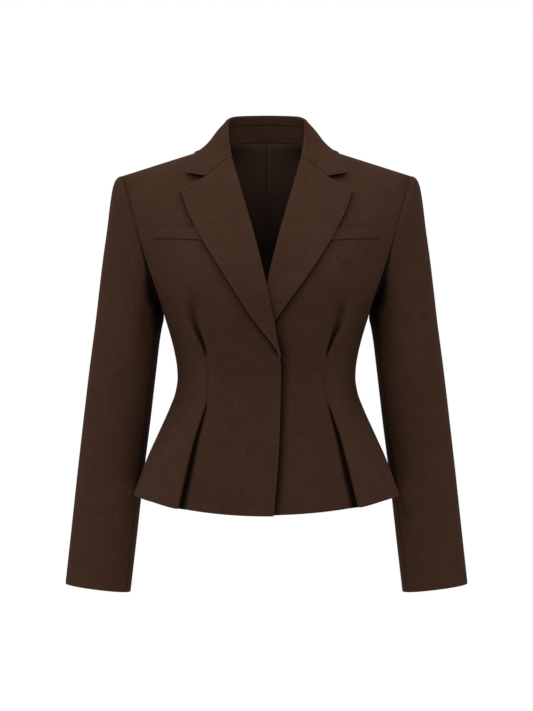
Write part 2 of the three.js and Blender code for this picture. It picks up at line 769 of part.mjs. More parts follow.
// A point of the sleeve: t runs from the armhole to the cuff, and the angle runs from the
// outer line, round the front, to the inner line and on round the back.
function sleevePoint(t, angle) {
  const power = 2 / SLEEVE_POWER;
  const round = (v) => Math.sign(v) * Math.abs(v) ** power;
  const c = Math.cos(angle);
  const s = Math.sin(angle);
  const across = t === 0 ? c : round(c);
  const x = mix(sleeve.innerX(t), sleeve.outerX(t), (1 + across) / 2);
  const z = mix(sleeve.innerZ(t), sleeve.outerZ(t), (1 + across) / 2);
  if (t === 0) {
    const seamX = mix(ARMPIT.x, SHOULDER.endX, (1 + c) / 2);
    const seamZ = mix(ARMPIT.z, SHOULDER.endZ, (1 + c) / 2);
    const { point } = formAt(seamX, seamZ, s < 0);
    return point.addScaledVector(ARMHOLE_NORMAL, SEAM_GAP);
  }
  const depth = s > 0 ? sleeve.front(t) : sleeve.back(t);
  return vector(x, sleeve.centreY(t) - depth * round(s), z);
}

function sleevePanel(from, to, count) {
  const step = 0.02;
  return [...SLEEVE_RINGS].reverse().map((t) => {
    const i = SLEEVE_RINGS.indexOf(t);
    const below = SLEEVE_RINGS[Math.min(SLEEVE_RINGS.length - 1, i + 1)];
    const above = SLEEVE_RINGS[Math.max(0, i - 1)];
    const row = { outer: [], inner: [] };
    const trim = mix(SLEEVE_TRIM.armhole, SLEEVE_TRIM.cuff, clamp01(5 * t));
    for (let j = 0; j <= count; j += 1) {
      const angle = mix(from + trim, to - trim, j / count);
      const p = sleevePoint(t, angle);
      const up = sleevePoint(above, angle).sub(sleevePoint(below, angle));
      const round = sleevePoint(t, angle - step).sub(sleevePoint(t, angle + step));
      let normal = round.cross(up).normalize();
      let reach = CLOTH / 2;
      if (t === 0) {
        const facing = normal;
        normal = facing.clone().addScaledVector(ARMHOLE_NORMAL, -facing.dot(ARMHOLE_NORMAL));
        normal.normalize();
        reach = Math.min(1.7, 1 / normal.dot(facing)) * reach;
      }
      row.outer.push(p.clone().addScaledVector(normal, reach));
      row.inner.push(p.clone().addScaledVector(normal, -reach));
    }
    row.outer.reverse();
    row.inner.reverse();
    return row;
  });
}

const wool = () =>
  new THREE.MeshStandardMaterial({ color: BROWN, roughness: 0.95, metalness: 0 });
const jacket = new THREE.Group();

function sew(name, rows) {
  const mesh = new THREE.Mesh(closedWall(rows), wool());
  mesh.name = name;
  jacket.add(mesh);
}

const TURN = 2 * Math.PI;
const { front: frontSeam, back: backSeam } = SLEEVE_SEAMS;
const upperSleeve = sleevePanel(backSeam - TURN, frontSeam, SLEEVE_COLUMNS.upper);
const underSleeve = sleevePanel(frontSeam, backSeam, SLEEVE_COLUMNS.under);

sew("front_left", frontPanel(true));
sew("front_right", mirrored(frontPanel(false)));
sew("back_left", backPanel());
sew("back_right", mirrored(backPanel()));
sew("lapel_left", lapelPanel(true));
sew("lapel_right", mirrored(lapelPanel(false)));
sew("collar_fall", collarFall());
sew("collar_stand", collarStand());
sew("chest_welt_left", chestWelt(true));
sew("chest_welt_right", mirrored(chestWelt(false)));
sew("upper_sleeve_left", upperSleeve);
sew("upper_sleeve_right", mirrored(upperSleeve));
sew("under_sleeve_left", underSleeve);
sew("under_sleeve_right", mirrored(underSleeve));

export default jacket;
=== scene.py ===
"""A cropped, waisted jacket of brown wool with a notched collar, filled out as it is when worn.

+X is the wearer's left, -Y the front and +Z up, from the middle of the neck. Shapes are worked
out in millimetres and become metres where a mesh is made.
"""

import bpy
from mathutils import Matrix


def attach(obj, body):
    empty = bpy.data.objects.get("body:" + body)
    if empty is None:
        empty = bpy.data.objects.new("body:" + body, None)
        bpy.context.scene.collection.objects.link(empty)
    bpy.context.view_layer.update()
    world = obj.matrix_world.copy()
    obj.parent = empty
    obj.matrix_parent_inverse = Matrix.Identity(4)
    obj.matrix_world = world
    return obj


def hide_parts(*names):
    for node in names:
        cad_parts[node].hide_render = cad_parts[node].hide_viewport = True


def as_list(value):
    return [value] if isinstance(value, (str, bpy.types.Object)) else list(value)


bl_info = {
    "name": "Tailored jacket",
    "version": (1, 0, 0),
    "blender": (4, 5, 0),
    "location": "3D View > Sidebar > Jacket",
    "description": "Makes a waisted wool jacket with lapels, pleats and set-in sleeves, and its studio",
    "category": "Add Mesh",
}

import math

import bpy
import numpy as np
from mathutils import Vector

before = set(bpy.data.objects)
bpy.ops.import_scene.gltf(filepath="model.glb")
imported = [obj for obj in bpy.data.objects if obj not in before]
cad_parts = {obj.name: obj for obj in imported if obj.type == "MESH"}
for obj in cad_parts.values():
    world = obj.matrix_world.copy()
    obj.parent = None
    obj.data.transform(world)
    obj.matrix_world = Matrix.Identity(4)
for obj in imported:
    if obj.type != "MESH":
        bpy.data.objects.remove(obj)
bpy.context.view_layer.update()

SHOULDER = {"end_x": 208.3, "end_z": -43.5, "neck_x": 62, "neck_z": 3.1}
ARMPIT = {"x": 157.5, "z": -215}
HEM = {
    "side_z": -503,
    "front_drop": 24,
    "back_drop": 6,
    "level_z": -371,
    "left_up": 1.8,
    "fold_down": 1.8,
}
BACK_NECK_Z = 11
NECK_TAPER = 0.3
BUST = {"x": 80, "z": -195, "out": 14, "wide": 45, "high": 50}
LAPEL = {
    "lift": 3.2,
    "roll": 3.0,
    "top_z": -22,
    "break_z": -306,
    "left_in": 3.4,
}
COLLAR = {
    "lift": 1.9,
    "gorge_lift": 3.4,
    "tip_off": 3.0,
    "fold_half": 1.6,
    "stand_share": 0.62,
    "stand_end": 0.75,
}
UNDERLAP_REACH = (22, 82)
NEAR_REACH = 13
LAPEL_TOP_REACH = 45
# Painted shade on the fronts at the waist's side and low in the middle: how dark it is, and between which
# heights.
FRONT_SHADE = {
    "side": 0.3,
    "waist_foot": (-420, -360),
    "waist_top": (-235, -200),
    "middle": 0.13,
    "middle_top": (-330, -240),
}
# How far the painted shadow reaches from the right front's edge and from the lapel's edge.
EDGE_REACH = {"front": 36, "lapel": 20}
# Painted shadow under the collar's end, in the notch: where it starts and fades, and how dark it is.
NOTCH_SHADE = {
    "edge_z": -46,
    "over": 6,
    "full": 2,
    "reach": 13,
    "rise_x": (70, 84),
    "fade_x": (96, 122),
    "dark": 0.9,
}
NOTCH_X = 86
COLLAR_ON_FORM_W = 0.74
WELT = {"outer_x": 160, "inner_x": 84, "top_z": -120, "height": 18.4, "fall": 5, "rest": 0.45}
SLEEVE_POWER = 2.15
SLEEVE_PINCH = 0.5
SLEEVE_SEAMS = {"front": 2.62, "back": 4.05}
RIM_STEPS = np.array([0, 0.08, 0.3, 0.65, 1.0])
ARMHOLE_STEPS = np.array([0.004, 0.007, 0.011, 0.015])
FRONT_STEPS = {"middle": 44, "turns": 56, "side": 45}


def table(names, rows):
    """Rows of numbers as columns with names."""
    return dict(zip(names.split(), np.array(rows, float).T))


# half is the half width, front and back are the centre front and centre back, centre is
# where the section is widest, and the last two say how square it is.
TORSO = table(
    "z half front back centre front_power back_power",
    [
        [-540, 203, -135, 133, -32, 2.3, 2.2],
        [-503, 189.5, -129, 126, -30, 2.3, 2.2],
        [-479, 181, -124, 120, -25, 2.3, 2.2],
        [-450, 170.5, -117, 111, -18, 2.3, 2.3],
        [-415, 155, -108, 101, -9, 2.3, 2.4],
        [-380, 139.5, -99, 88, -2, 2.3, 2.5],
        [-357, 131.3, -93, 81, 3, 2.3, 2.5],
        [-336, 128.3, -90, 78, 5, 2.3, 2.5],
        [-322, 129, -91, 78, 5, 2.3, 2.5],
        [-299, 132.7, -94, 81, 5, 2.3, 2.5],
        [-276, 138.5, -100, 85, 5, 2.3, 2.5],
        [-252, 145.7, -107, 89, 5, 2.3, 2.6],
        [-215, 157.5, -116, 95, 5, 2.3, 2.6],
        [-185, 172.6, -114, 99, 5, 2.3, 2.6],
        [-150, 191.9, -106, 102, 5, 2.3, 2.6],
        [-118, 208.2, -93, 101, 6, 2.3, 2.6],
        [-80, 218.5, -72, 95, 7, 2.25, 2.2],
        [-60, 215.6, -58, 89, 8, 2.15, 2.0],
        [-43.5, 208.3, -45, 84, 8, 2.0, 1.9],
        [-20, 136.6, -29, 77, 8, 2.0, 1.8],
        [4.5, 62, -12, 69, 8, 2.0, 1.8],
        [60, 50, -10, 66, 8, 2.0, 1.8],
    ],
)
# The free front edge and, above the lapel's break, the line the lapel rolls on.
FRONT_EDGE = table(
    "z x",
    [
        [-530, -9.5],
        [-476, -14.3],
        [-416, -18.1],
        [-327, -20.3],
        [-304, -18.6],
        [-282, -12.4],
        [-254, -6.6],
        [-228, -1.1],
        [-203, 4.1],
        [-180, 9.3],
        [-138, 19.9],
        [-98, 31.2],
        [-52, 44.4],
        [-22, 52.7],
        [4.5, 62],
    ],
)
# The pleat: where it lies, how far it laps under, how much its folded edge stands up and the
# cloth beside it sinks, how deep and how wide the hollow at the fold is, how deep its stitched
# part is, how far from the fold the rise eases away, half the width over which the fold itself
# turns, and how dark the painted shade in the hollow and along the stitching is.
PLEAT = table(
    "z x lap rise sink hollow width groove reach spread dark",
    [
        [-520, 122, 26, 8.5, 1, 9, 12, 0, 92, 2.2, 0.85],
        [-476, 112.3, 22, 7, 1, 7.5, 10, 0, 84, 2.2, 0.82],
        [-446, 105.8, 18, 5.6, 1, 6.2, 8.5, 0, 74, 2.2, 0.8],
        [-419, 99.4, 13, 4.2, 1.2, 4.8, 6, 0, 56, 2.2, 0.85],
        [-395, 92.2, 7, 2.8, 1.6, 3.2, 3.6, 0, 36, 2, 0.75],
        [-383, 88.6, 3, 2.1, 1.8, 2, 3, 0, 24, 1.8, 0.7],
        [-376, 86.7, 0.6, 1.6, 1.8, 1.1, 3, 0, 18, 1.5, 0.55],
        [-369, 84.8, 0, 0.1, 0.4, 0, 3, 0.8, 14, 1.2, 0.33],
        [-358, 83.6, 0, 0, 0, 0, 2.4, 1.1, 14, 1.1, 0.28],
        [-342, 83, 0, 0, 0, 0, 2.4, 1.1, 14, 1.1, 0.28],
        [-318, 84.1, 0, 0, 0, 0, 2.4, 1.1, 14, 1.1, 0.28],
        [-308, 86.2, 0, 0.1, 0.4, 0, 3, 0.8, 14, 1.2, 0.36],
        [-301, 87.7, 0.6, 1.8, 1.8, 1.2, 3, 0, 18, 1.6, 0.6],
        [-294, 90.4, 3, 2.4, 2, 4, 4.2, 0, 26, 2, 0.78],
        [-280, 96.4, 5, 3.4, 2.4, 6, 6.4, 0, 36, 2.6, 0.6],
        [-266, 103, 3, 3.6, 2.6, 5.4, 9.5, 0, 40, 4.2, 0.38],
        [-254, 107.6, 0, 3.4, 2.6, 4.6, 13, 0, 42, 7, 0.26],
        [-240, 111, 0, 2.6, 2.4, 3.6, 16, 0, 44, 11, 0.26],
        [-222, 112, 0, 0.8, 0.8, 1, 17, 0, 44, 17, 0.1],
        [-200, 112.5, 0, 0, 0, 0, 16, 0, 44, 20, 0],
        [-118, 116, 0, 0, 0, 0, 16, 0, 40, 20, 0],
        [5, 135, 0, 0, 0, 0, 16, 0, 40, 20, 0],
    ],
)
# The pleat's turns: lap and step are shares of its own, spread is in units of its spread.
PLEAT_TURNS = table(
    "lap spread step",
    [
        [0, -1, 0],
        [0.5, -0.7, 0],
        [1, -0.35, 0],
        [1, -0.2, 0.45],
        [0.5, 0, 0.5],
        [0, 0.2, 0.55],
        [0, 0.35, 1],
        [0, 1, 1],
    ],
)
# How far the left front, which laps under the right one, lies inside the form: over a wide
# stretch of the front, and more right beside the right front's edge. Its pleat lies further
# out than the right one's.
UNDERLAP = table(
    "z in near pleat_out",
    [
        [-530, 3.2, 6.5, 5.4],
        [-450, 3.2, 6.5, 3.6],
        [-385, 3.2, 6, 3.2],
        [-345, 3.2, 5.5, 0],
        [-300, 7.4, 3, 0],
        [-260, 7.4, 0, 0],
        [-190, 7.4, 0, 0],
        [-120, 0, 0, 0],
        [5, 0, 0, 0],
    ],
)
# How dark the painted shadow is beside the lapel's free edge and, on the left front and
# lapel, beside the right front's edge.
EDGE_SHADE = table(
    "z lapel front",
    [
        [-530, 0, 0.8],
        [-345, 0, 0.75],
        [-305, 0, 0.9],
        [-300, 0.95, 0.95],
        [-270, 0.9, 0.9],
        [-240, 0.7, 0.3],
        [-215, 0.55, 0],
        [-140, 0.4, 0],
        [-75, 0.4, 0],
        [-68, 0, 0],
        [5, 0, 0],
    ],
)
# The shade on the sleeve beside the body: how wide it is and how dark.
ARMPIT_SHADE = table(
    "z wide dark",
    [
        [-560, 9, 0],
        [-515, 10, 0.3],
        [-490, 10, 0.5],
        [-450, 9, 0.5],
        [-420, 8, 0.4],
        [-330, 8, 0.3],
        [-270, 13, 0.6],
        [-245, 19, 0.9],
        [-225, 20, 0.95],
        [-205, 17, 0.95],
        [-185, 9.5, 0.93],
        [-168, 5.5, 0.85],
        [-145, 3, 0.6],
        [-110, 2, 0.1],
        [5, 2, 0],
    ],
)
# The lapel's free edge, from its point down to the break, and how far it stands off.
LAPEL_EDGE = table(
    "t x z off",
    [
        [0, 121.5, -70.3, 2.6],
        [0.116, 110.6, -100.6, 3],
        [0.203, 99.8, -122, 3.2],
        [0.29, 89, -142.5, 3.4],
        [0.386, 76, -162.7, 3.6],
        [0.492, 61.9, -184.8, 3.8],
        [0.569, 49.4, -204.4, 4],
        [0.656, 35.2, -225.8, 4],
        [0.743, 21, -247, 3.8],
        [0.83, 6.8, -266.9, 3],
        [0.9, -4.8, -281.6, 2],
        [0.95, -12.2, -292.6, 1],
        [1, -18, -304, 0],
    ],
)
# The lapel's top: the gorge seam as far as the notch, then straight to the point.
LAPEL_TOP = table("x z", [[52.7, -22], [60, -26.4], [72, -36.2], [86, -49.8], [121.5, -70.3]])
# The collar from the centre back (w = 0) to the gorge (w = 1): its seam with the body, the top
# of its fold, and its falling edge.
COLLAR_LINES = table(
    "w neck_x neck_y neck_z fold_x fold_y fold_z edge_x edge_y edge_z",
    [
        [0, 0, 69.5, 14.5, 0, 75, 51.8, 0, 81, 0],
        [0.18, 24, 65, 13.5, 24.5, 72, 51, 33, 78, -0.5],
        [0.36, 45, 49, 10.5, 44.4, 60, 48.8, 62.5, 64, -2],
        [0.52, 58, 27, 6.5, 54.6, 40, 43.6, 86, 43, -4],
        [0.66, 62.3, 7, 3.4, 57.6, 15, 36, 100, 14, -7.5],
        [0.8, 61, -7, 0.4, 55.8, -6, 13, 105.3, -8, -18],
        [0.9, 58, -17, -7, 53.2, -19, -4, 110, -20, -31.5],
        [1, 52.7, -27.5, -21.5, 50, -31, -21, 115.2, -28, -45.4],
    ],
)
# How far the collar's falling side bulges out between its fold and its edge, and how far it
# rolls out near its fold and back in near its edge.
COLLAR_BULGE = table(
    "w out roll",
    [[0, 3, 0], [0.25, 1.5, 0.4], [0.5, -1.2, 1.4], [0.66, -1.2, 1.4], [0.8, 0, 0.6], [1, 0, 0]],
)
# Each ring of the sleeve runs from its outer point to its inner point, seen from the front.
SLEEVE = table(
    "t outer_x outer_z inner_x inner_z centre front back",
    [
        [0, 208.6, -43.6, 157.8, -215.1, 6, 52, 55],
        [0.02, 213, -44.6, 157.9, -217.3, 7.5, 54, 57],
        [0.045, 218, -48.5, 157.5, -219.6, 10, 55, 58.5],
        [0.08, 223, -60, 156.2, -223.2, 15, 56, 59.5],
        [0.12, 226.8, -79, 154.3, -228.5, 21.5, 57, 60.5],
        [0.18, 232.2, -118, 151.2, -237, 29, 57.5, 61],
        [0.25, 238.4, -160, 151, -248, 33.5, 57, 60],
        [0.33, 244.2, -206, 153.8, -262, 36, 56, 58.5],
        [0.41, 249.8, -254, 156.8, -279, 37, 55, 57],
        [0.52, 257.8, -314, 162.8, -328, 38, 53, 54],
        [0.64, 267, -385, 171.3, -398, 46, 50, 50],
        [0.76, 276.6, -464, 181.4, -477, 52, 45, 45],
        [0.88, 286, -550, 191, -563, 53, 40, 40],
        [1, 295.6, -639.5, 201, -651.5, 50, 35, 35],
    ],
)


# Curves and grids


def curve_through(xs, ys):
    """Cubic pieces through the points that never overshoot them: the slope at a point is the
    weighted harmonic mean of the straight slopes beside it, or 0 where their signs differ."""
    step, last = np.diff(xs), len(xs) - 2
    rise = np.diff(ys) / step
    before, after = 2 * step[1:] + step[:-1], step[1:] + 2 * step[:-1]
    same = rise[:-1] * rise[1:] > 0
    low, high = np.where(same, rise[:-1], 1), np.where(same, rise[1:], 1)
    slope = np.concatenate(
        [rise[:1], np.where(same, (before + after) / (before / low + after / high), 0), rise[-1:]]
    )

    def read(x):
        at = np.clip(x, xs[0], xs[-1])
        i = np.clip(np.searchsorted(xs, at, side="left") - 1, 0, last)
        t = (at - xs[i]) / step[i]
        bend = t * t * (3 - 2 * t)
        start = t * (1 - t) ** 2 * step[i] * slope[i]
        end = t * t * (t - 1) * step[i] * slope[i + 1]
        return ys[i] * (1 - bend) + ys[i + 1] * bend + start + end

    return read


def curves(columns, by):
    """One curve for each other column of a table, read by the column named by."""
    return {
        name: curve_through(columns[by], values) for name, values in columns.items() if name != by
    }


torso = curves(TORSO, "z")
front_edge = curves(FRONT_EDGE, "z")["x"]
pleat = curves(PLEAT, "z")
underlap = curves(UNDERLAP, "z")
edge_shade = curves(EDGE_SHADE, "z")
armpit_shade = curves(ARMPIT_SHADE, "z")
lapel_line = curve_through(LAPEL_EDGE["z"][::-1], LAPEL_EDGE["x"][::-1])
lapel_edge = curves(LAPEL_EDGE, "t")
lapel_top = curves(LAPEL_TOP, "x")["z"]
collar_lines = curves(COLLAR_LINES, "w")
collar_bulge = curves(COLLAR_BULGE, "w")
sleeve = curves(SLEEVE, "t")
sleeve_inner = curve_through(SLEEVE["inner_z"][::-1], SLEEVE["inner_x"][::-1])


def mix(a, b, t):
    """a + (b - a) t."""
    return a + (b - a) * t


def ease(low, high, v):
    """0 up to low, 1 from high, and 3t^2 - 2t^3 between them."""
    t = np.clip((v - low) / (high - low), 0, 1)
    return t * t * (3 - 2 * t)


def unit(vectors):
    """The vectors divided by their own lengths."""
    return vectors / np.maximum(np.linalg.norm(vectors, axis=-1, keepdims=True), 1e-9)


def read_rows(keys, values, at):
    """Straight lines between known points, row by row: row r of at is read off row r of keys,
    which rises, and values."""
    i = np.clip((keys[:, None, :] <= at[:, :, None]).sum(-1) - 1, 0, keys.shape[1] - 2)
    key, next_key = (np.take_along_axis(keys, i + k, 1) for k in (0, 1))
    value, next_value = (np.take_along_axis(values, i + k, 1) for k in (0, 1))
    return mix(value, next_value, (at - key) / (next_key - key))


def rimmed(length, count, radius):
    """Places along rows of the given lengths: a few close steps over the rim's radius at each
    end, and count even steps between them. A short row has its rims squeezed."""
    rim = RIM_STEPS * radius * np.minimum(1, 0.3 * length / radius)
    between = np.linspace(0, 1, count + 2)[1:-1]
    middle = mix(rim[:, -1:], length - rim[:, -1:], between)
    return np.concatenate([rim, middle, length - rim[:, ::-1]], axis=1)


def spline_rows(controls, count):
    """A uniform cubic B-spline for each row of control values, with its end points held by
    being taken three times: each piece weighs four controls by (1-t)^3, 3t^3-6t^2+4,
    -3t^3+3t^2+3t+1 and t^3, all over 6."""
    held = np.concatenate([controls[:, :1]] * 2 + [controls] + [controls[:, -1:]] * 2, axis=1)
    at = np.linspace(0, held.shape[1] - 3 - 1e-6, count)
    i, t = at.astype(int), at % 1
    weights = [(1 - t) ** 3, 3 * t**3 - 6 * t**2 + 4, -3 * t**3 + 3 * t**2 + 3 * t + 1, t**3]
    return sum(held[:, i + k] * weight / 6 for k, weight in enumerate(weights))


def lengths_along(points, axis):
    """How far each point of a grid is along its row (axis 1) or column (axis 0), from the
    start and to the end."""
    steps = np.linalg.norm(np.diff(points, axis=axis), axis=-1)
    start = np.insert(np.cumsum(steps, axis=axis), 0, 0, axis=axis)
    return start, start.take([-1], axis=axis) - start


def facing(points):
    """The unit normals of a grid: the change along a row crossed with the change along a
    column."""
    return unit(np.cross(np.gradient(points, axis=1), np.gradient(points, axis=0)))


def mirrored(points):
    """The same grid on the other side of the body, still facing out."""
    return (points * [-1, 1, 1])[:, ::-1]


def on_side(side, points, shade):
    """A left panel's grid and its shade as they are, or mirrored for the right side."""
    return (points, shade) if side == "left" else (mirrored(points), shade[:, ::-1])


# The torso form

SHOULDER_SLOPE = (SHOULDER["neck_z"] - SHOULDER["end_z"]) / (SHOULDER["neck_x"] - SHOULDER["end_x"])
ARMHOLE_SLOPE = (SHOULDER["end_x"] - ARMPIT["x"]) / (SHOULDER["end_z"] - ARMPIT["z"])


def half_width(z):
    """The table's half width up to the shoulder's end, then a straight slope along the
    shoulder to the neck, then a slight taper."""
    above = z - SHOULDER["neck_z"]
    return np.where(
        z <= SHOULDER["end_z"],
        torso["half"](z),
        SHOULDER["neck_x"] + np.where(above <= 0, above / SHOULDER_SLOPE, -NECK_TAPER * above),
    )


def form_at(x, z, back):
    """The torso: |x/half|^n + |(y-centre)/depth|^n = 1 at each height, with a soft hill
    exp(-(dx^2 + dz^2)/2) over each breast. Gives the points and the outward unit normals, which
    follow the section's slope and how it grows with height."""
    side, sign = ("back", 1) if back else ("front", -1)
    edge, power = torso[side], torso[side + "_power"](z)
    half, centre = half_width(z), torso["centre"](z)
    depth = sign * (edge(z) - centre)
    across = np.minimum(1, np.abs(x) / half)
    out = np.maximum(0, 1 - across**power) ** (1 / power)
    hill = np.exp(-(((np.abs(x) - BUST["x"]) / BUST["wide"]) ** 2) / 2)
    hill = hill * np.exp(-(((z - BUST["z"]) / BUST["high"]) ** 2) / 2)
    bust = 0 if back else BUST["out"] * (1 - across**4) * hill
    points = np.stack(np.broadcast_arrays(x, centre + sign * (depth * out + bust), z), -1)
    grow = (half_width(z + 1) - half_width(z - 1)) / 2
    deepen = sign * (edge(z + 1) - edge(z - 1) - torso["centre"](z + 1) + torso["centre"](z - 1)) / 2
    lean = -(across**power) * grow / half - out**power * deepen / depth
    normals = [
        np.sign(x) * across ** (power - 1) / half,
        sign * out ** (power - 1) / depth,
        lean,
    ]
    return points, unit(np.stack(np.broadcast_arrays(*normals), -1))


def top_line_z(x, back):
    """The shoulder's straight slope, and between the neck points a flat line in front or a
    parabola that rises to the back neck."""
    slope = SHOULDER["neck_z"] + SHOULDER_SLOPE * (x - SHOULDER["neck_x"])
    share = np.maximum(0, 1 - (x / SHOULDER["neck_x"]) ** 2)
    neck = mix(SHOULDER["neck_z"], BACK_NECK_Z, share) if back else SHOULDER["neck_z"]
    return np.where(x >= SHOULDER["neck_x"], slope, neck)


def level_lines(levels, drop, back):
    """Where the rows of a panel run: level low down, sunk towards the middle by the hem's
    parabola, and leaning above the armpit until the last one lies along the shoulder."""
    level = levels[:, None]
    outer = np.where(
        level <= ARMPIT["z"],
        torso["half"](level),
        ARMPIT["x"] + ARMHOLE_SLOPE * (level - ARMPIT["z"]),
    )
    share = np.clip((HEM["level_z"] - level) / (HEM["level_z"] - HEM["side_z"]), 0, 1)
    lean = ease(ARMPIT["z"], SHOULDER["end_z"], level)

    def z_at(x):
        inside = np.maximum(0, x)
        hem = -drop * share * (1 - np.minimum(1, inside / outer) ** 2)
        return level + hem + lean * (top_line_z(inside, back) - top_line_z(outer, back))

    return outer, z_at


def meet(line_x, z_at):
    """The x at which each row meets a line given by height, by taking the row's height there
    twelve times over."""
    x = line_x(z_at(np.zeros((1, 1))))
    for _ in range(12):
        x = line_x(z_at(x))
    return x


def laid_on(inner, outer, z_at, back):
    """Rows drawn on the form from inner to outer and measured along the cloth from inner, with
    a short lead before it. Gives each row's length, the way to read x from a length, and the
    way to lay (along, out) points: the form's point there plus its normal times out."""
    start = inner - 8
    xs = start + (outer - start) * np.sin(np.linspace(0, np.pi / 2, 160))
    lengths, _ = lengths_along(form_at(xs, z_at(xs), back)[0], 1)
    lengths = lengths - read_rows(xs, lengths, inner)

    def x_at(along):
        return read_rows(lengths, xs, np.minimum(along, lengths[:, -1:]))

    def lay(along, out):
        x = x_at(along)
        points, normals = form_at(x, z_at(x), back)
        return points + normals * out[..., None]

    def along_at(x):
        return read_rows(xs, lengths, x)

    return lengths[:, -1:], x_at, along_at, lay


def slipped_under(x, z):
    """How far the left front lies inside the form: the table's depths by height, one easing
    away with the distance from the middle, the other with that from the right front's edge."""
    wide = underlap["in"](z) * (1 - ease(*UNDERLAP_REACH, x))
    return -wide - underlap["near"](z) * (1 - ease(0, NEAR_REACH, x + front_edge(z)))


def shade_by_edges(x, z, under, is_lapel):
    """The painted shadow beside the edges above the cloth: the table's share at the edge, times
    a power of what is left of the reach. Under the collar's notch it is a product of eases."""
    beside = np.maximum(0, x + front_edge(z)) / EDGE_REACH["front"]
    shade = edge_shade["front"](z) * np.maximum(0, 1 - beside) ** 3 * (1 if under else 0)
    if is_lapel:
        return shade
    beside = np.maximum(0, x - lapel_line(z)) / EDGE_REACH["lapel"]
    shade = np.maximum(shade, edge_shade["lapel"](z) * np.maximum(0, 1 - beside) ** 2.5)
    below = NOTCH_SHADE["edge_z"] - z
    notch = ease(-NOTCH_SHADE["over"], 0, below)
    notch = notch * (1 - ease(NOTCH_SHADE["full"], NOTCH_SHADE["reach"], below))
    across = ease(*NOTCH_SHADE["rise_x"], x) * (1 - ease(*NOTCH_SHADE["fade_x"], x))
    return np.maximum(shade, NOTCH_SHADE["dark"] * notch * across)


def body_levels(radius):
    """Heights of a body panel's rows: close steps over the hem's rim, even steps of about
    3 mm, and near the shoulder steps that grow as the square of the row's number, because the
    form turns over there as a square root."""
    low = HEM["side_z"] + RIM_STEPS * radius
    top = SHOULDER["end_z"] - 0.0064 * np.array([0, 0.1, 0.3, 0.6, 1, 2, 4, 7, 11, 16, 22, 29]) ** 2
    between = np.linspace(low[-1], top[-1], 148)[1:-1]
    return np.concatenate([low, between, top[::-1]])


# The panels, each as a grid of points in the middle of its cloth


def front_grid(under, radius):
    """A front: along each row flat cloth from the free edge to the pleat, whose out is -sink
    times its ease, less the hollow times (1 - d/width)^2, then the pleat's turns as a spline,
    then the side part, whose out is rise times its ease and which hangs a little lower at its
    fold. The left front's hem is a little higher in the middle. Gives the points and the painted
    shade on them: darkest in the pleat's hollow, and some painted shadow beside edges, at the
    waist's side and low in the middle."""
    drop = HEM["front_drop"] - (HEM["left_up"] if under else 0)
    outer, z_at = level_lines(body_levels(radius), drop, False)
    inner = meet(front_edge, z_at)
    length, x_at, along_at, lay = laid_on(inner, outer, z_at, False)
    pleat_x = meet(pleat["x"], z_at)
    here = {name: read(z_at(pleat_x)) for name, read in pleat.items()}
    at = along_at(pleat_x + (underlap["pleat_out"](z_at(pleat_x)) if under else 0))
    spread, rise, sink = here["spread"], here["rise"], here["sink"]

    middle_end = at - spread
    steps = np.concatenate([RIM_STEPS * radius, np.full(FRONT_STEPS["middle"], radius)])
    way = np.linspace(0, 1, FRONT_STEPS["middle"] + 2)[1:-1]
    share = np.concatenate([0 * RIM_STEPS, 1 - (1 - way) ** 1.5])
    middle = mix(steps, middle_end, share)
    away = middle_end - middle
    hollow = here["hollow"] * np.maximum(0, 1 - away / here["width"]) ** 2
    middle_out = -sink * (1 - ease(0, here["reach"], away)) - hollow
    middle_shade = here["dark"] * np.maximum(0, 1 - away / here["width"] / 1.1) ** 1.6

    turn_lap, turn_spread, turn_step = (PLEAT_TURNS[k][None, :] for k in ("lap", "spread", "step"))
    turns = at + here["lap"] * turn_lap + spread * turn_spread
    low = sink + here["hollow"]
    turns_out = (rise + low) * turn_step - low - here["groove"] * (1 - np.abs(turn_spread))
    turns, turns_out = (spline_rows(v, FRONT_STEPS["turns"]) for v in (turns, turns_out))
    turned = np.linspace(0, 1, FRONT_STEPS["turns"]) + 0 * at
    turns_shade = here["dark"] * (1 - ease(0.5, 0.7, turned))

    side_start = at + spread
    share = np.linspace(0, 1, FRONT_STEPS["side"] + 2)[1:-1] ** 1.4
    side = mix(side_start, length - radius, share)
    side = np.concatenate([side, length - RIM_STEPS[::-1] * radius], axis=1)
    side_out = rise * (1 - ease(0, here["reach"], side - side_start))

    along = np.concatenate([middle, turns, side], axis=1)
    out = np.concatenate([middle_out, turns_out, side_out], axis=1)
    x = x_at(along)
    z = z_at(x)
    if under:
        out = out + slipped_under(x, z)
    points = lay(along, out)
    low_share = 1 - ease(HEM["side_z"], HEM["side_z"] + 60, points[:, -1:, 2])
    beyond = np.concatenate([0 * middle, turned, 1 + 0 * side], axis=1)
    hang = HEM["fold_down"] * beyond * (1 - ease(0, 45, along - side_start))
    points[..., 2] -= hang * low_share
    # Painted shade: in the pleat's hollow and turns, beside the edges, at the waist's side and low in the
    # middle.
    shade = np.concatenate([middle_shade, turns_shade, 0 * side], axis=1)
    waist = ease(*FRONT_SHADE["waist_foot"], z) * (1 - ease(*FRONT_SHADE["waist_top"], z))
    near_side = FRONT_SHADE["side"] * waist * ease(0.7, 1, x / outer)
    low = 1 - ease(*FRONT_SHADE["middle_top"], z)
    near_middle = FRONT_SHADE["middle"] * low * (1 - ease(0.5, 0.75, x / outer))
    beside_edges = shade_by_edges(x, z, under, False)
    return points, np.maximum.reduce([shade, near_side, near_middle, beside_edges])


def back_grid(radius):
    """A back: rows on the form from the centre back seam to the side seam and armhole."""
    outer, z_at = level_lines(body_levels(radius), HEM["back_drop"], True)
    length, _, _, lay = laid_on(np.zeros_like(outer), outer, z_at, True)
    along = rimmed(length, 62, radius)
    return lay(along, np.zeros_like(along))[:, ::-1]


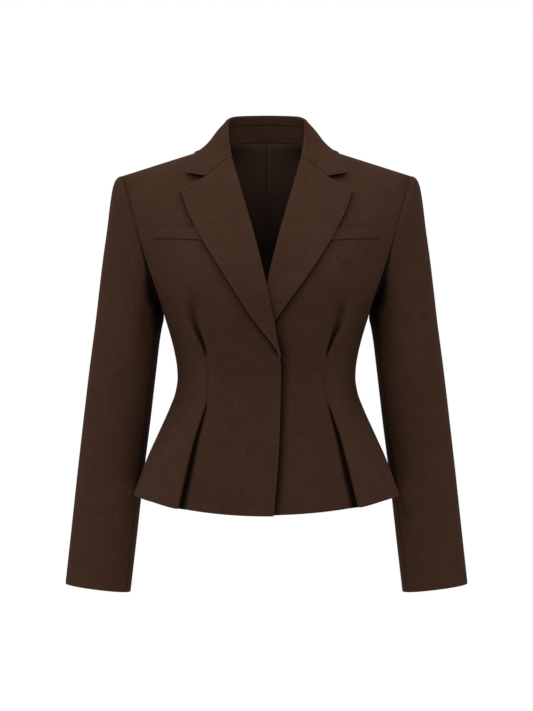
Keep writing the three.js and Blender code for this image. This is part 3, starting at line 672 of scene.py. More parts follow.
def lapel_grid(under, radius):
    """A lapel: each row leaves the front's edge, turns over as the half circle
    (-roll sin a, lift (1 - cos a)/2), whose roll is smaller near the break, and runs over the
    form to the free edge, rising by the square of its share. Rows near the top bend with the
    gorge. Gives the points and the painted shadow on them beside the right front's edge."""
    span = LAPEL["top_z"] - LAPEL["break_z"]
    drop = rimmed(np.array([[float(span)]]), 112, radius).T
    roll_z = LAPEL["break_z"] + drop
    t = (LAPEL["top_z"] - roll_z) / span
    roll_x, edge_x, edge_z = front_edge(roll_z), lapel_edge["x"](t), lapel_edge["z"](t)
    top_x, tip_z = front_edge(LAPEL["top_z"]), lapel_edge["z"](0)
    if under:
        edge_x = edge_x - LAPEL["left_in"] * ease(0.45, 0.7, t)
    bend = 1 - ease(0, LAPEL_TOP_REACH, LAPEL["top_z"] - roll_z)

    def z_at(x):
        share = np.clip((x - roll_x) / (edge_x - roll_x), 0, 1)
        bow = lapel_top(mix(top_x, lapel_edge["x"](0), share)) - mix(LAPEL["top_z"], tip_z, share)
        return mix(roll_z, edge_z, share) + bow * bend

    length, x_at, _, lay = laid_on(roll_x, edge_x, z_at, False)
    turn = np.linspace(0, np.pi, 22)[:-1]
    roll = LAPEL["roll"] * mix(0.3, 1, ease(LAPEL["break_z"], LAPEL["break_z"] + 45, roll_z))
    leaf = rimmed(length, 42, radius)[:, RIM_STEPS.size - 1 :]
    leaf = (leaf - leaf[:, :1]) * length / (length - leaf[:, :1])
    along = np.concatenate([-roll * np.sin(turn), leaf], axis=1)
    rise = LAPEL["lift"] + lapel_edge["off"](t) * (leaf / length) ** 2
    out = np.concatenate([LAPEL["lift"] * (1 - np.cos(turn)) / 2 + 0 * length, rise], axis=1)
    x = x_at(along)
    if under:
        out = out + slipped_under(x, z_at(x))
    return lay(along, out), shade_by_edges(x, z_at(x), under, True)


def collar_point(name, w):
    """Points of one of the collar's lines, with x turned to the side of w."""
    at, side = np.abs(w), np.where(w < 0, -1, 1)
    x, y, z = (collar_lines[f"{name}_{axis}"](at) for axis in "xyz")
    return np.stack([side * x, y, z], -1)


def rest_on_form(p, lift, hold):
    """Points moved out along the form's normal until they are lift away from it. As hold grows
    to 1 they come to lie at just that distance over their own place on the form."""
    side = np.where(p[..., 0] < 0, -1, 1)
    x = np.minimum(np.abs(p[..., 0]), half_width(p[..., 2]) * 0.999)
    behind = (p[..., 1] > torso["centre"](p[..., 2]))[..., None]
    front_side, back_side = form_at(x, p[..., 2], False), form_at(x, p[..., 2], True)
    flip = np.stack([side, np.ones_like(side), np.ones_like(side)], -1)
    point = np.where(behind, back_side[0], front_side[0]) * flip
    normal = np.where(behind, back_side[1], front_side[1]) * flip
    gap = ((p - point) * normal).sum(-1, keepdims=True)
    moved = p + normal * np.maximum(0, lift - gap)
    return mix(moved, point + normal * lift, hold)


def gorge_turn(angle, side):
    """The lapel's half circle at the top of its roll, for the collar's front end to carry on."""
    x, z = front_edge(LAPEL["top_z"]), LAPEL["top_z"]
    point, normal = (v.reshape(3) for v in form_at(np.array(x), np.array(float(z)), False))
    inward = unit(np.array([1, 0, 0]) - normal[0] * normal)
    turn = -np.sin(angle)[:, None, None] * LAPEL["roll"] * inward
    turn = turn + (1 - np.cos(angle))[:, None, None] / 2 * COLLAR["gorge_lift"] * normal
    return (point + turn) * np.stack([side, np.ones_like(side), np.ones_like(side)], -1)


def collar_ways(radius):
    """Shares of the way from the centre back to each gorge, -1 to 1, close at both ends."""
    length = 152.0
    along = rimmed(np.array([[2 * length]]), 150, radius)[0]
    return (along - length) / length


def stand_share(at):
    """The stand's share of the collar's inner height, which shrinks to 0 towards the front."""
    return (COLLAR["stand_share"] * (1 - ease(0.55, 0.82, at)))[..., None]


def collar_fall_grid(radius):
    """The collar from its seam with the stand, up its inner side, over the fold as half an
    ellipse, and down the falling side, bulged by a half sine and rolled by a full one. Towards
    the front the fall comes to lie on the body and its turn becomes the lapel's. Rows run down
    the section."""
    w = collar_ways(radius)[None, :]
    at, side = np.abs(w), np.where(w < 0, -1, 1)
    neck, fold, edge = (collar_point(name, w) for name in ("neck", "fold", "edge"))
    up = unit(fold - neck)
    along = collar_point("fold", at + 0.02) - collar_point("fold", at - 0.02)
    along[..., 0] = np.where(at < 0.02, np.abs(along[..., 0]), along[..., 0]) * side
    out = unit(np.cross(along, up) * -side[..., None])
    half, on_form = COLLAR["fold_half"], ease(COLLAR_ON_FORM_W, 1, at)[..., None]
    share = stand_share(at)

    base = fold - up * half * 1.4
    angle = np.linspace(0, np.pi, 25)[:, None, None]
    turn = base - out * half * np.cos(angle) + up * half * 1.4 * np.sin(angle)
    rise = np.concatenate([RIM_STEPS * radius / 20, np.linspace(radius / 20, 1, 14)[1:-1]])
    leg = mix(mix(neck, fold, share), turn[:1], rise[:, None, None])
    low, high = 0.225 * np.pi, 0.775 * np.pi
    angles = np.concatenate([rise * low, np.linspace(low, high, 25)])
    start = mix(np.concatenate([leg, turn]), gorge_turn(angles, side), on_form**2)

    drop = rimmed(np.array([[1.0]]), 50, radius / 60)[0][RIM_STEPS.size :, None, None]
    fall = mix(turn[-1:], edge, drop) + out * collar_bulge["out"](at)[..., None] * np.sin(np.pi * drop)
    fall = fall + out * collar_bulge["roll"](at)[..., None] * np.sin(2 * np.pi * drop)
    x = np.abs(fall[..., 0])
    notch_z = lapel_top(NOTCH_X)
    past = np.clip((x - NOTCH_X) / (np.abs(edge[..., 0]) - NOTCH_X), 0, 1)
    end_z = np.where(x < NOTCH_X, lapel_top(x), mix(notch_z, edge[..., 2], past))
    fall[..., 2] = mix(fall[..., 2], end_z, on_form[..., 0] ** 2)
    lift = mix(COLLAR["lift"], COLLAR["gorge_lift"], on_form) + COLLAR["tip_off"] * on_form * drop**2
    settled = rest_on_form(fall, lift, on_form * ease(0, 0.1, drop))
    return np.concatenate([start, settled])


def collar_stand_grid(radius):
    """The stand: straight from the backs' upper edge up to its seam with the fall, whose share
    of the height shrinks towards the front. Faces the neck."""
    w = collar_ways(radius)
    w = w[np.abs(w) <= COLLAR["stand_end"]][None, :]
    at, side = np.abs(w), np.where(w < 0, -1, 1)
    neck, fold = collar_point("neck", w), collar_point("fold", w)
    share = stand_share(at)
    x = np.abs(neck[..., 0])
    back_edge = form_at(x, top_line_z(x, True), True)[0]
    back_edge[..., 0] *= side
    foot = mix(back_edge, neck, ease(0.56, 0.7, at)[..., None])
    rows = rimmed(np.array([[1.0]]), 12, radius / 22)[0][:, None, None]
    return mix(foot, mix(neck, fold, share), rows)


def welt_grid(under, thick, radius):
    """A chest welt: a straight band on the front that dips towards the lapel by the power 1.5
    of the way, half its own cloth and a little more off the front's cloth."""
    share = rimmed(np.array([[WELT["height"]]]), 8, radius).T / WELT["height"]

    def z_at(x):
        way = np.clip((WELT["outer_x"] - x) / (WELT["outer_x"] - WELT["inner_x"]), 0, 1)
        return WELT["top_z"] - WELT["height"] * (1 - share) - WELT["fall"] * way**1.5

    inner, outer = (np.full_like(share, WELT[k]) for k in ("inner_x", "outer_x"))
    length, x_at, _, lay = laid_on(inner, outer, z_at, False)
    along = rimmed(length, 40, radius)
    x = x_at(along)
    return lay(along, thick + (slipped_under(x, z_at(x)) if under else 0 * along))


def sleeve_grid(start, end, count, radius):
    """A sleeve panel: at each ring an ellipse-like section whose ends are the ring's outer and
    inner points, cos and sin taken to the power 2/n. The first stretch leaves the armhole, a
    plane cut of the torso form. Gives the points and the painted shade on them beside the body."""
    length = 640.0
    t = rimmed(np.array([[length]]), 176, radius).T / length
    t = np.sort(np.concatenate([t, ARMHOLE_STEPS[:, None]]), axis=0)
    turn = rimmed(np.array([[float(end - start)]]), count, radius / 52)
    angle = start + turn
    c, s = np.cos(angle), np.sin(angle)
    pinched = ease(0.04, 0.14, t) * (1 - ease(0.3, 0.6, t))
    power = 2 / (SLEEVE_POWER - SLEEVE_PINCH * pinched * ease(0, 0.8, -c))

    def rounded(v):
        return np.sign(v) * np.abs(v) ** power

    ring = np.maximum(t, 0.02)
    across = (1 + rounded(c)) / 2
    depth = np.where(s > 0, sleeve["front"](ring), sleeve["back"](ring))
    x = mix(sleeve["inner_x"](ring), sleeve["outer_x"](ring), across)
    z = mix(sleeve["inner_z"](ring), sleeve["outer_z"](ring), across)
    tube = np.stack(np.broadcast_arrays(x, sleeve["centre"](ring) - depth * rounded(s), z), -1)
    seam_x = mix(ARMPIT["x"], SHOULDER["end_x"], (1 + c) / 2)
    seam_z = mix(ARMPIT["z"], SHOULDER["end_z"], (1 + c) / 2)
    behind = (s < 0)[..., None]
    hole = np.where(behind, form_at(seam_x, seam_z, True)[0], form_at(seam_x, seam_z, False)[0])
    points = mix(hole, tube, np.clip(t / 0.02, 0, 1)[..., None])[::-1, ::-1]
    x, z = points[..., 0], points[..., 2]
    body = np.where(z > ARMPIT["z"], ARMPIT["x"] + ARMHOLE_SLOPE * (z - ARMPIT["z"]), half_width(z))
    wide = armpit_shade["wide"](z)
    beside = (x - np.maximum(body, sleeve_inner(z))) / wide
    return points, armpit_shade["dark"](z) * (1 - ease(0.45, 1.15, beside))


# Cloth walls


def rims(points, sides, seam, free):
    """For a grid whose four sides are each "seam", "free" or "gorge", which is a seam as far as
    the notch: how full the cloth is, 0 to 1, as the quarter circle sqrt(1 - (1 - d/r)^2) of the
    distance d to each side and the smallest of them, and the distances to the nearest seam and
    to the nearest free edge."""
    borders = [points[:, :1], points[:, -1:], points[:1], points[-1:]]
    far = [*lengths_along(points, 1), *lengths_along(points, 0)]
    sewn = [
        (kind == "seam") | ((kind == "gorge") & (np.abs(border[..., 0]) < NOTCH_X))
        for kind, border in zip(sides, borders)
    ]
    full = [
        np.sqrt(1 - (1 - np.minimum(1, d / np.where(is_sewn, seam, free))) ** 2)
        for d, is_sewn in zip(far, sewn)
    ]
    from_seam = np.minimum.reduce([np.where(is_sewn, d, 999) for d, is_sewn in zip(far, sewn)])
    from_edge = np.minimum.reduce([np.where(is_sewn, 999, d) for d, is_sewn in zip(far, sewn)])
    return np.minimum.reduce(full), from_seam, from_edge


def cloth_wall(name, points, shade, thick, sides, materials, turned_up=0.0):
    """A closed wall of cloth round a grid of middle points: each side lies half the thickness
    along the normal, times the rim's fullness, so that both meet on the rim. turned_up makes
    the inner side that much thicker over a hem of 35 mm, fading by an ease. shade is the
    painted shade at each point."""
    cloth = bpy.context.scene.jacket_cloth
    full, from_seam, from_edge = rims(points, sides, cloth.seam * 1000, cloth.fold * 1000)
    normals = facing(points)
    from_hem = lengths_along(points, 0)[0]
    hem = turned_up * (1 - ease(33.5, 35.5, from_hem))
    outer = points + normals * (full * thick / 2)[..., None]
    inner = points - normals * (full * (thick / 2 + hem))[..., None]

    high, wide = full.shape
    number = np.arange(high * wide).reshape(high, wide)
    inside = np.zeros_like(number, bool)
    inside[1:-1, 1:-1] = True
    under = number.copy()
    under[inside] = high * wide + np.arange(inside.sum())
    vertices = np.concatenate([outer.reshape(-1, 3), inner[inside]]) * 0.001

    def quads(index, order):
        a, b = index[:-1, :-1], index[:-1, 1:]
        c, d = index[1:, 1:], index[1:, :-1]
        return np.stack([a, b, c, d], -1).reshape(-1, 4)[:, order]

    def on_vertices(values):
        on_grid = values.reshape(high * wide, -1)
        return np.concatenate([on_grid, on_grid[inside.ravel()]])

    faces = np.concatenate([quads(number, [0, 1, 2, 3]), quads(under, [0, 3, 2, 1])])
    mesh = bpy.data.meshes.new(name)
    mesh.from_pydata(vertices, [], faces)
    uv = on_vertices(np.stack([lengths_along(points, 1)[0], from_hem], -1) * 0.001)
    corner = np.empty(len(mesh.loops), np.int32)
    mesh.loops.foreach_get("vertex_index", corner)
    mesh.uv_layers.new(name="Cloth").data.foreach_set("uv", uv[corner].ravel())
    painted = {"from_seam": from_seam * 0.001, "from_edge": from_edge * 0.001, "shade": shade}
    for attribute, values in painted.items():
        layer = mesh.attributes.new(attribute, "FLOAT", "POINT")
        layer.data.foreach_set("value", on_vertices(values + 0 * full).ravel())
    for material in materials:
        mesh.materials.append(material)
    lined = np.repeat([0, len(materials) - 1], len(faces) // 2)
    mesh.polygons.foreach_set("material_index", lined)
    mesh.polygons.foreach_set("use_smooth", np.ones(len(faces), bool))
    mesh.validate()
    mesh.update()
    piece = bpy.data.objects.new(name, mesh)
    bpy.context.scene.collection.objects.link(piece)
    return piece


def cut_area(points):
    """The area of a grid of middle points, in square metres: half the size of the two
    triangles' cross products in each cell."""
    a, b, c, d = points[:-1, :-1], points[:-1, 1:], points[1:, 1:], points[1:, :-1]
    first = np.linalg.norm(np.cross(b - a, c - a), axis=-1)
    second = np.linalg.norm(np.cross(c - a, d - a), axis=-1)
    return float((first + second).sum()) / 2 * 1e-6


# Finishes


def node(tree, kind, inputs=(), **settings):
    """A node of the given kind with its settings, and its inputs set or linked in order."""
    made = tree.nodes.new("ShaderNode" + kind)
    for key, value in settings.items():
        setattr(made, key, value)
    for key, value in dict(inputs).items():
        if isinstance(value, bpy.types.NodeSocket):
            tree.links.new(value, made.inputs[key])
        else:
            made.inputs[key].default_value = value
    return made


def bare_material(name):
    """An empty node material with its output, as (material, tree, output)."""
    material = bpy.data.materials.get(name)
    if material:
        bpy.data.materials.remove(material)
    material = bpy.data.materials.new(name)
    material.use_nodes = True
    tree = material.node_tree
    tree.nodes.clear()
    return material, tree, tree.nodes.new("ShaderNodeOutputMaterial")


def span(tree, value, low, high, start, end, kind="LINEAR"):
    """A map range node's result: start at low, end at high."""
    bounds = {"Value": value, "From Min": low, "From Max": high, "To Min": start, "To Max": end}
    return node(tree, "MapRange", bounds, interpolation_type=kind).outputs["Result"]


def blend(tree, share, first, second):
    """A colour mix node's result: first at share 0, second at share 1."""
    mixed = node(tree, "Mix", {0: share, 6: first, 7: second}, data_type="RGBA")
    return mixed.outputs[2]


def wool_suiting():
    """Wool suiting: two shades of yarn mixed by fine and broad noise, a twill line along the
    cloth's own map, a soft nap, darker stitching lines, painted shade in hollows and beside
    edges, a painted highlight on free edges, and a faint ridge where the turned-in cloth ends."""
    cloth = bpy.context.scene.jacket_cloth
    material, tree, output = bare_material("wool_suiting")
    place = node(tree, "TexCoord").outputs["Object"]
    own = node(tree, "UVMap", uv_map="Cloth").outputs["UV"]
    fleck = {"Vector": place, "Scale": cloth.fleck_scale, "Detail": 3.0, "Roughness": 0.7}
    fine = node(tree, "TexNoise", fleck).outputs["Fac"]
    cast = {"Vector": place, "Scale": 45.0, "Detail": 2.0, "Roughness": 0.5}
    broad = node(tree, "TexNoise", cast).outputs["Fac"]
    turned = {"Vector": own, "Rotation": (0, 0, math.radians(63))}
    lines = {
        "Vector": node(tree, "Mapping", turned).outputs["Vector"],
        "Scale": math.pi / 10 / cloth.twill_pitch,
        "Distortion": 1.5,
        "Detail": 2.0,
        "Detail Scale": 3.0,
    }
    twill = node(tree, "TexWave", lines, wave_type="BANDS", bands_direction="X").outputs["Fac"]
    flecks = span(tree, fine, 0.26, 0.74, 0.0, 0.78)
    shades = span(tree, broad, 0.3, 0.7, 0.0, 0.1)
    weave = span(tree, twill, 0.0, 1.0, 0.0, 0.12)
    share = node(tree, "Math", {0: flecks, 1: shades}, operation="ADD").outputs[0]
    share = node(tree, "Math", {0: share, 1: weave}, operation="ADD").outputs[0]
    colour = blend(tree, share, (*cloth.dark_yarn, 1), (*cloth.light_yarn, 1))

    seam = node(tree, "Attribute", attribute_name="from_seam").outputs["Fac"]
    stitched = span(tree, seam, 0.0003, cloth.seam_line, cloth.seam_dark, 0.0, "SMOOTHSTEP")
    colour = blend(tree, stitched, colour, (*[0.15 * v for v in cloth.dark_yarn], 1))
    # Painted highlight on free edges, in the highlight's own colour.
    edge = node(tree, "Attribute", attribute_name="from_edge").outputs["Fac"]
    edge_highlight_share = span(tree, edge, 0.0003, 0.0016, cloth.edge_light, 0.0, "SMOOTHSTEP")
    colour = blend(tree, edge_highlight_share, colour, (*cloth.edge_highlight_colour, 1))

    # Painted shade from the cloth's shade attribute: hollows, beside edges, the neck's inside and beside the
    # body.
    depth = node(tree, "Attribute", attribute_name="shade").outputs["Fac"]
    colour = blend(tree, depth, colour, (*[0.08 * v for v in cloth.dark_yarn], 1))

    turned_in = span(tree, edge, 0.0085, 0.0115, 1.0, 0.0, "SMOOTHSTEP")
    ridge = {"Height": turned_in, "Strength": 1.0, "Distance": cloth.ridge}
    normal = node(tree, "Bump", ridge).outputs["Normal"]
    rib = {"Height": twill, "Strength": 1.0, "Distance": cloth.twill_depth, "Normal": normal}
    normal = node(tree, "Bump", rib).outputs["Normal"]
    nap = {"Height": fine, "Strength": 1.0, "Distance": cloth.nap_depth, "Normal": normal}
    normal = node(tree, "Bump", nap).outputs["Normal"]
    surface = {
        "Base Color": colour,
        "Roughness": 0.96,
        "Specular IOR Level": 0.04,
        "Sheen Weight": 0.02,
        "Sheen Roughness": 0.4,
        "Sheen Tint": (0.6, 0.3, 0.2, 1),
        "Normal": normal,
    }
    cloth_surface = node(tree, "BsdfPrincipled", surface)
    tree.links.new(cloth_surface.outputs["BSDF"], output.inputs["Surface"])
    return material


def dull_lining():
    """The lining: dark, dull cloth with fine threads along the cloth's length, painted shade low
    down, and darker stitching lines."""
    cloth = bpy.context.scene.jacket_cloth
    material, tree, output = bare_material("dull_lining")
    own = node(tree, "UVMap", uv_map="Cloth").outputs["UV"]
    drawn = node(tree, "Mapping", {"Vector": own, "Scale": (1, 0.35, 1)}).outputs["Vector"]
    fibre = {"Vector": drawn, "Scale": 620.0, "Detail": 3.0, "Roughness": 0.65}
    thread = node(tree, "TexNoise", fibre).outputs["Fac"]
    share = span(tree, thread, 0.3, 0.7, 0.0, 1.0)
    dark, light = ((*[k * v for v in cloth.lining], 1) for k in (0.75, 1.25))
    colour = blend(tree, share, dark, light)
    # Painted shade on the lining low down, by its height.
    place = node(tree, "TexCoord").outputs["Object"]
    height = node(tree, "SeparateXYZ", {0: place}).outputs["Z"]
    low = span(tree, height, -0.03, -0.155, 0.0, cloth.lining_low, "SMOOTHSTEP")
    colour = blend(tree, low, colour, (*[0.1 * v for v in cloth.lining], 1))
    seam = node(tree, "Attribute", attribute_name="from_seam").outputs["Fac"]
    stitched = span(tree, seam, 0.0003, cloth.seam_line, cloth.seam_dark, 0.0, "SMOOTHSTEP")
    colour = blend(tree, stitched, colour, (*[0.2 * v for v in cloth.lining], 1))
    bump = node(tree, "Bump", {"Height": thread, "Strength": 1.0, "Distance": 0.00005})
    surface = {
        "Base Color": colour,
        "Roughness": 0.9,
        "Specular IOR Level": 0.06,
        "Normal": bump.outputs["Normal"],
    }
    lining = node(tree, "BsdfPrincipled", surface)
    tree.links.new(lining.outputs["BSDF"], output.inputs["Surface"])
    return material


def finish(name):
    """The named material, made on first use."""
    makers = {"wool_suiting": wool_suiting, "dull_lining": dull_lining}
    return bpy.data.materials.get(name) or makers[name]()


# Settings


class JacketCloth(bpy.types.PropertyGroup):
    thick: bpy.props.FloatProperty(
        name="Cloth", description="Thickness of the body's cloth", default=0.0014, unit="LENGTH"
    )
    faced: bpy.props.FloatProperty(
        name="Faced cloth", description="Thickness of lapels and collar", default=0.002, unit="LENGTH"
    )
    welt: bpy.props.FloatProperty(
        name="Welt cloth", description="Thickness of the chest welts", default=0.0009, unit="LENGTH"
    )
    seam: bpy.props.FloatProperty(
        name="Seam rim", description="Roundness of edges in seams", default=0.0004, unit="LENGTH"
    )
    fold: bpy.props.FloatProperty(
        name="Free rim", description="Roundness of free edges", default=0.0012, unit="LENGTH"
    )
    turned_up: bpy.props.FloatProperty(
        name="Turned-up hem", description="Extra thickness of the hems", default=0.0009, unit="LENGTH"
    )
    dark_yarn: bpy.props.FloatVectorProperty(
        name="Dark yarn",
        description="Darker shade of the wool",
        default=(0.018, 0.0082, 0.0045),
        subtype="COLOR",
    )
    light_yarn: bpy.props.FloatVectorProperty(
        name="Light yarn",
        description="Lighter shade of the wool",
        default=(0.0555, 0.0271, 0.0162),
        subtype="COLOR",
    )
    # Colour of the painted highlight on free edges.
    edge_highlight_colour: bpy.props.FloatVectorProperty(
        name="Edge",
        description="Shade of the wool on its edges",
        default=(0.062, 0.03, 0.019),
        subtype="COLOR",
    )
    seam_line: bpy.props.FloatProperty(
        name="Seam line",
        description="How far a seam's line darkens the cloth",
        default=0.0013,
        unit="LENGTH",
    )
    seam_dark: bpy.props.FloatProperty(
        name="Seam share", description="How dark a seam's line is", default=0.5, subtype="FACTOR"
    )
    fleck_scale: bpy.props.FloatProperty(
        name="Fleck scale", description="Scale of the wool's fine noise, per metre", default=640.0
    )
    # How strong the painted highlight on free edges is.
    edge_light: bpy.props.FloatProperty(
        name="Edge share", description="How much edges take their own shade", default=0.7, subtype="FACTOR"
    )
    lining: bpy.props.FloatVectorProperty(
        name="Lining", description="Colour of the lining", default=(0.036, 0.0192, 0.0138), subtype="COLOR"
    )
    # How dark the painted shade on the lining is low down.
    lining_low: bpy.props.FloatProperty(
        name="Low lining", description="How dark the lining is low down", default=0.88, subtype="FACTOR"
    )
    # How dark the painted shade inside the collar is.
    neck_shade: bpy.props.FloatProperty(
        name="Neck shade", description="How dark the collar is inside", default=0.36, subtype="FACTOR"
    )
    twill_pitch: bpy.props.FloatProperty(
        name="Twill pitch", description="Distance between twill lines", default=0.0011, unit="LENGTH"
    )
    twill_depth: bpy.props.FloatProperty(
        name="Twill depth", description="Depth of the twill lines", default=0.00003, unit="LENGTH"
    )
    nap_depth: bpy.props.FloatProperty(
        name="Nap depth", description="Height of the wool's nap", default=0.00012, unit="LENGTH"
    )
    ridge: bpy.props.FloatProperty(
        name="Seam ridge",
        description="Height of the seam allowances' print",
        default=0.00012,
        unit="LENGTH",
    )


class JacketStudio(bpy.types.PropertyGroup):
    distance: bpy.props.FloatProperty(
        name="Camera distance",
        description="From the camera to the middle plane",
        default=3.0,
        unit="LENGTH",
    )
    height: bpy.props.FloatProperty(
        name="Camera height", description="Height of the camera", default=-0.3038, unit="LENGTH"
    )
    lens: bpy.props.FloatProperty(
        name="Lens", description="Focal length in millimetres for a 36 mm long side", default=104.76
    )
    floor_z: bpy.props.FloatProperty(
        name="Floor", description="Height of the floor", default=-1.35, unit="LENGTH"
    )
    floor_colour: bpy.props.FloatVectorProperty(
        name="Floor colour", description="Colour of the floor", default=(0.88, 0.87, 0.86), subtype="COLOR"
    )
    key: bpy.props.FloatProperty(
        name="Key light", description="Power of the wide light above the front", default=17.0, unit="POWER"
    )
    fill: bpy.props.FloatProperty(
        name="Fill light", description="Power of the light from the wearer's right", default=7.0, unit="POWER"
    )
    surround: bpy.props.FloatProperty(
        name="Surrounding light", description="Strength of the light from all round", default=0.68
    )
    overhead: bpy.props.FloatProperty(
        name="Overhead light", description="How much stronger it is from right above", default=0.8
    )


# Pieces


def add_panel(name, points, thick, sides, flat, rests_on, lined=True, turned_up=0.0, shade=0.0):
    finishes = [finish("wool_suiting"), finish("dull_lining")] if lined else [finish("wool_suiting")]
    piece = cloth_wall(
        name + "_cloth", points, shade, thick * 1000, sides, finishes, turned_up * 1000
    )
    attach(piece, "root")
    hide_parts(name)
    cut_area(points)
    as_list(rests_on)


class JACKET_OT_backs(bpy.types.Operator):
    """Make the two backs, which meet in the centre back seam"""

    bl_idname = "jacket.backs"
    bl_label = "Backs"

    def execute(self, context):
        cloth = context.scene.jacket_cloth
        grid, sides = back_grid(cloth.seam * 1000), ("seam", "seam", "free", "seam")
        for name, points in (("back_left", grid), ("back_right", mirrored(grid))):
            flat, hem = (0.28, 0.58), cloth.turned_up
            add_panel(name, points, cloth.thick, sides, flat, [], turned_up=hem)
        return {"FINISHED"}


class JACKET_OT_fronts(bpy.types.Operator):
    """Make the two fronts with their pleats"""

    bl_idname = "jacket.fronts"
    bl_label = "Fronts"

    def execute(self, context):
        cloth = context.scene.jacket_cloth
        seam = cloth.seam * 1000
        for side in ("left", "right"):
            points, shade = on_side(side, *front_grid(side == "left", seam))
            sides = ("free", "seam") if side == "left" else ("seam", "free")
            sides += ("free", "seam")
            name, flat, hem = "front_" + side, (0.31, 0.6), cloth.turned_up
            add_panel(name, points, cloth.thick, sides, flat, [], turned_up=hem, shade=shade)
        return {"FINISHED"}


class JACKET_OT_lapels(bpy.types.Operator):
    """Make the two lapels, which roll out of the fronts' edges"""

    bl_idname = "jacket.lapels"
    bl_label = "Lapels"

    def execute(self, context):
        cloth = context.scene.jacket_cloth
        seam = cloth.seam * 1000
        for side in ("left", "right"):
            points, shade = on_side(side, *lapel_grid(side == "left", seam))
            sides = ("seam", "free") if side == "left" else ("free", "seam")
            sides += ("free", "gorge")
            name, flat, rests_on = "lapel_" + side, (0.105, 0.31), ["front_" + side]
            add_panel(name, points, cloth.faced, sides, flat, rests_on, lined=False, shade=shade)
        return {"FINISHED"}


class JACKET_OT_collar(bpy.types.Operator):
    """Make the collar's stand and its fall"""

    bl_idname = "jacket.collar"
    bl_label = "Collar"

    def execute(self, context):
        cloth = context.scene.jacket_cloth
        fall, stand = collar_fall_grid(cloth.seam * 1000), collar_stand_grid(cloth.seam * 1000)
        # Painted shade on the fall's inner side, fading out towards its fold.
        rows = np.linspace(0, 1, len(fall))[:, None] + 0 * fall[..., 0]
        inner = cloth.neck_shade * (1 - ease(0.12, 0.3, rows))
        sides, rests_on = ("gorge", "gorge", "seam", "free"), ["back_left", "back_right"]
        flat, thick = (0.405, 0.09), cloth.faced
        add_panel("collar_fall", fall, thick, sides, flat, rests_on, lined=False, shade=inner)
        flat, sides = (0.236, 0.027), ["seam"] * 4
        # Painted shade over the whole stand.
        inner = cloth.neck_shade * 1.2
        add_panel("collar_stand", stand, thick, sides, flat, rests_on, lined=False, shade=inner)
        return {"FINISHED"}


class JACKET_OT_welts(bpy.types.Operator):
    """Make the two welts of the chest pockets"""

    bl_idname = "jacket.welts"
    bl_label = "Chest welts"

    def execute(self, context):
        cloth = context.scene.jacket_cloth
        seam, rest = cloth.seam * 1000, cloth.thick * 500 + WELT["rest"] + cloth.welt * 500
        left, right = welt_grid(True, rest, seam), mirrored(welt_grid(False, rest, seam))
        for side, points in (("left", left), ("right", right)):
            name, flat, rests_on = "chest_welt_" + side, (0.087, 0.021), ["front_" + side]
            add_panel(name, points, cloth.welt, ["seam"] * 4, flat, rests_on, lined=False)
        return {"FINISHED"}


class JACKET_OT_sleeves(bpy.types.Operator):
    """Make the upper and under sleeves"""

    bl_idname = "jacket.sleeves"
    bl_label = "Sleeves"

    def execute(self, context):
        cloth = context.scene.jacket_cloth
        seam, sides = cloth.seam * 1000, ("seam", "seam", "free", "seam")
        front_seam, back_seam = SLEEVE_SEAMS["front"], SLEEVE_SEAMS["back"]
        upper = sleeve_grid(back_seam - 2 * np.pi, front_seam, 84, seam)
        under = sleeve_grid(front_seam, back_seam, 30, seam)
        for kind, grid, flat in (("upper", upper, (0.39, 0.62)), ("under", under, (0.095, 0.49))):
            for side in ("left", "right"):
                points, shade = on_side(side, *grid)
                name, rests_on = f"{kind}_sleeve_{side}", ["front_" + side, "back_" + side]
                hem = cloth.turned_up
                add_panel(name, points, cloth.thick, sides, flat, rests_on, turned_up=hem, shade=shade)
        return {"FINISHED"}


def soft_light(name, place, size, power):
    """A square area light at place that faces the jacket's middle."""
    data = bpy.data.lights.new(name, "AREA")
    data.energy, data.size = power, size
    light = bpy.data.objects.new(name, data)
    light.location = place
    aim = Vector((0, 0, -0.3)) - Vector(place)
    light.rotation_euler = aim.to_track_quat("-Z", "Y").to_euler()
    bpy.context.scene.collection.objects.link(light)


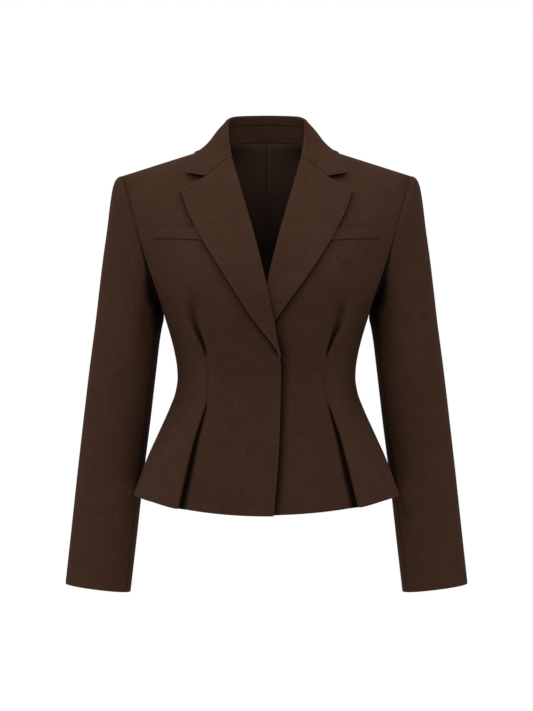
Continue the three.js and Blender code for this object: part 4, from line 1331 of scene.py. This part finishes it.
class JACKET_OT_studio(bpy.types.Operator):
    """Make the floor, the surrounding light, the soft lights and the camera"""

    bl_idname = "jacket.studio"
    bl_label = "Studio"

    def execute(self, context):
        scene, studio = context.scene, context.scene.jacket_studio
        angle = np.linspace(0, 2 * np.pi, 97)[:-1]
        rim = np.stack([2.1 * np.cos(angle), 2.1 * np.sin(angle), 0 * angle + studio.floor_z], -1)
        mesh = bpy.data.meshes.new("floor")
        mesh.from_pydata(rim, [], [list(range(len(rim)))])
        material, tree, output = bare_material("pale_floor")
        place = node(tree, "TexCoord")
        grain = node(tree, "TexNoise", {"Vector": place.outputs["Object"], "Scale": 3.0, "Detail": 2.0})
        colour = node(tree, "Mix", {0: grain.outputs["Fac"]}, data_type="RGBA")
        colour.inputs[6].default_value = (*studio.floor_colour, 1)
        colour.inputs[7].default_value = (*[0.98 * v for v in studio.floor_colour], 1)
        surface = node(tree, "BsdfPrincipled", {"Base Color": colour.outputs[2], "Roughness": 0.8})
        tree.links.new(surface.outputs["BSDF"], output.inputs["Surface"])
        mesh.materials.append(material)
        floor = bpy.data.objects.new("floor", mesh)
        scene.collection.objects.link(floor)

        world = bpy.data.worlds.new("white_surround")
        world.use_nodes = True
        tree = world.node_tree
        tree.nodes.clear()
        path = node(tree, "LightPath")
        way = node(tree, "TexCoord").outputs["Generated"]
        height = node(tree, "SeparateXYZ", {0: way}).outputs["Z"]
        above = span(tree, height, 0.0, 1.0, studio.surround, studio.surround + studio.overhead)
        lit = node(tree, "Background", {"Color": (1, 1, 1, 1), "Strength": above})
        seen = node(tree, "Background", {"Color": (1, 1, 1, 1), "Strength": 1.0})
        kinds = {0: path.outputs["Is Camera Ray"], 1: lit.outputs[0], 2: seen.outputs[0]}
        both = node(tree, "MixShader", kinds)
        surround = tree.nodes.new("ShaderNodeOutputWorld")
        tree.links.new(both.outputs[0], surround.inputs["Surface"])
        scene.world = world

        soft_light("key", (-0.2, -1.1, 1.2), 1.8, studio.key)
        soft_light("fill", (-2.7, -1.3, 0.3), 1.5, studio.fill)

        data = bpy.data.cameras.new("camera")
        data.lens, data.sensor_width, data.clip_end = studio.lens, 36, 50
        camera = bpy.data.objects.new("camera", data)
        camera.location = (0, -studio.distance, studio.height)
        camera.rotation_euler = (math.pi / 2, 0, 0)
        scene.collection.objects.link(camera)
        scene.camera = camera
        scene.view_settings.view_transform = "Standard"
        return {"FINISHED"}


OPERATORS = (
    JACKET_OT_backs,
    JACKET_OT_fronts,
    JACKET_OT_lapels,
    JACKET_OT_collar,
    JACKET_OT_welts,
    JACKET_OT_sleeves,
    JACKET_OT_studio,
)


class JACKET_PT_pieces(bpy.types.Panel):
    """The jacket's pieces and settings"""

    bl_label = "Jacket"
    bl_idname = "JACKET_PT_pieces"
    bl_space_type = "VIEW_3D"
    bl_region_type = "UI"
    bl_category = "Jacket"

    def draw(self, context):
        for operator in OPERATORS:
            self.layout.operator(operator.bl_idname)
        for settings in (context.scene.jacket_cloth, context.scene.jacket_studio):
            for name in settings.__annotations__:
                self.layout.prop(settings, name)


CLASSES = (JacketCloth, JacketStudio, *OPERATORS, JACKET_PT_pieces)


def register():
    for cls in CLASSES:
        bpy.utils.register_class(cls)
    bpy.types.Scene.jacket_cloth = bpy.props.PointerProperty(type=JacketCloth)
    bpy.types.Scene.jacket_studio = bpy.props.PointerProperty(type=JacketStudio)


def unregister():
    del bpy.types.Scene.jacket_studio
    del bpy.types.Scene.jacket_cloth
    for cls in reversed(CLASSES):
        bpy.utils.unregister_class(cls)


def main():
    register()
    bpy.ops.jacket.backs()
    bpy.ops.jacket.fronts()
    bpy.ops.jacket.lapels()
    bpy.ops.jacket.collar()
    bpy.ops.jacket.welts()
    bpy.ops.jacket.sleeves()
    bpy.ops.jacket.studio()


if __name__ == "__main__":
    main()
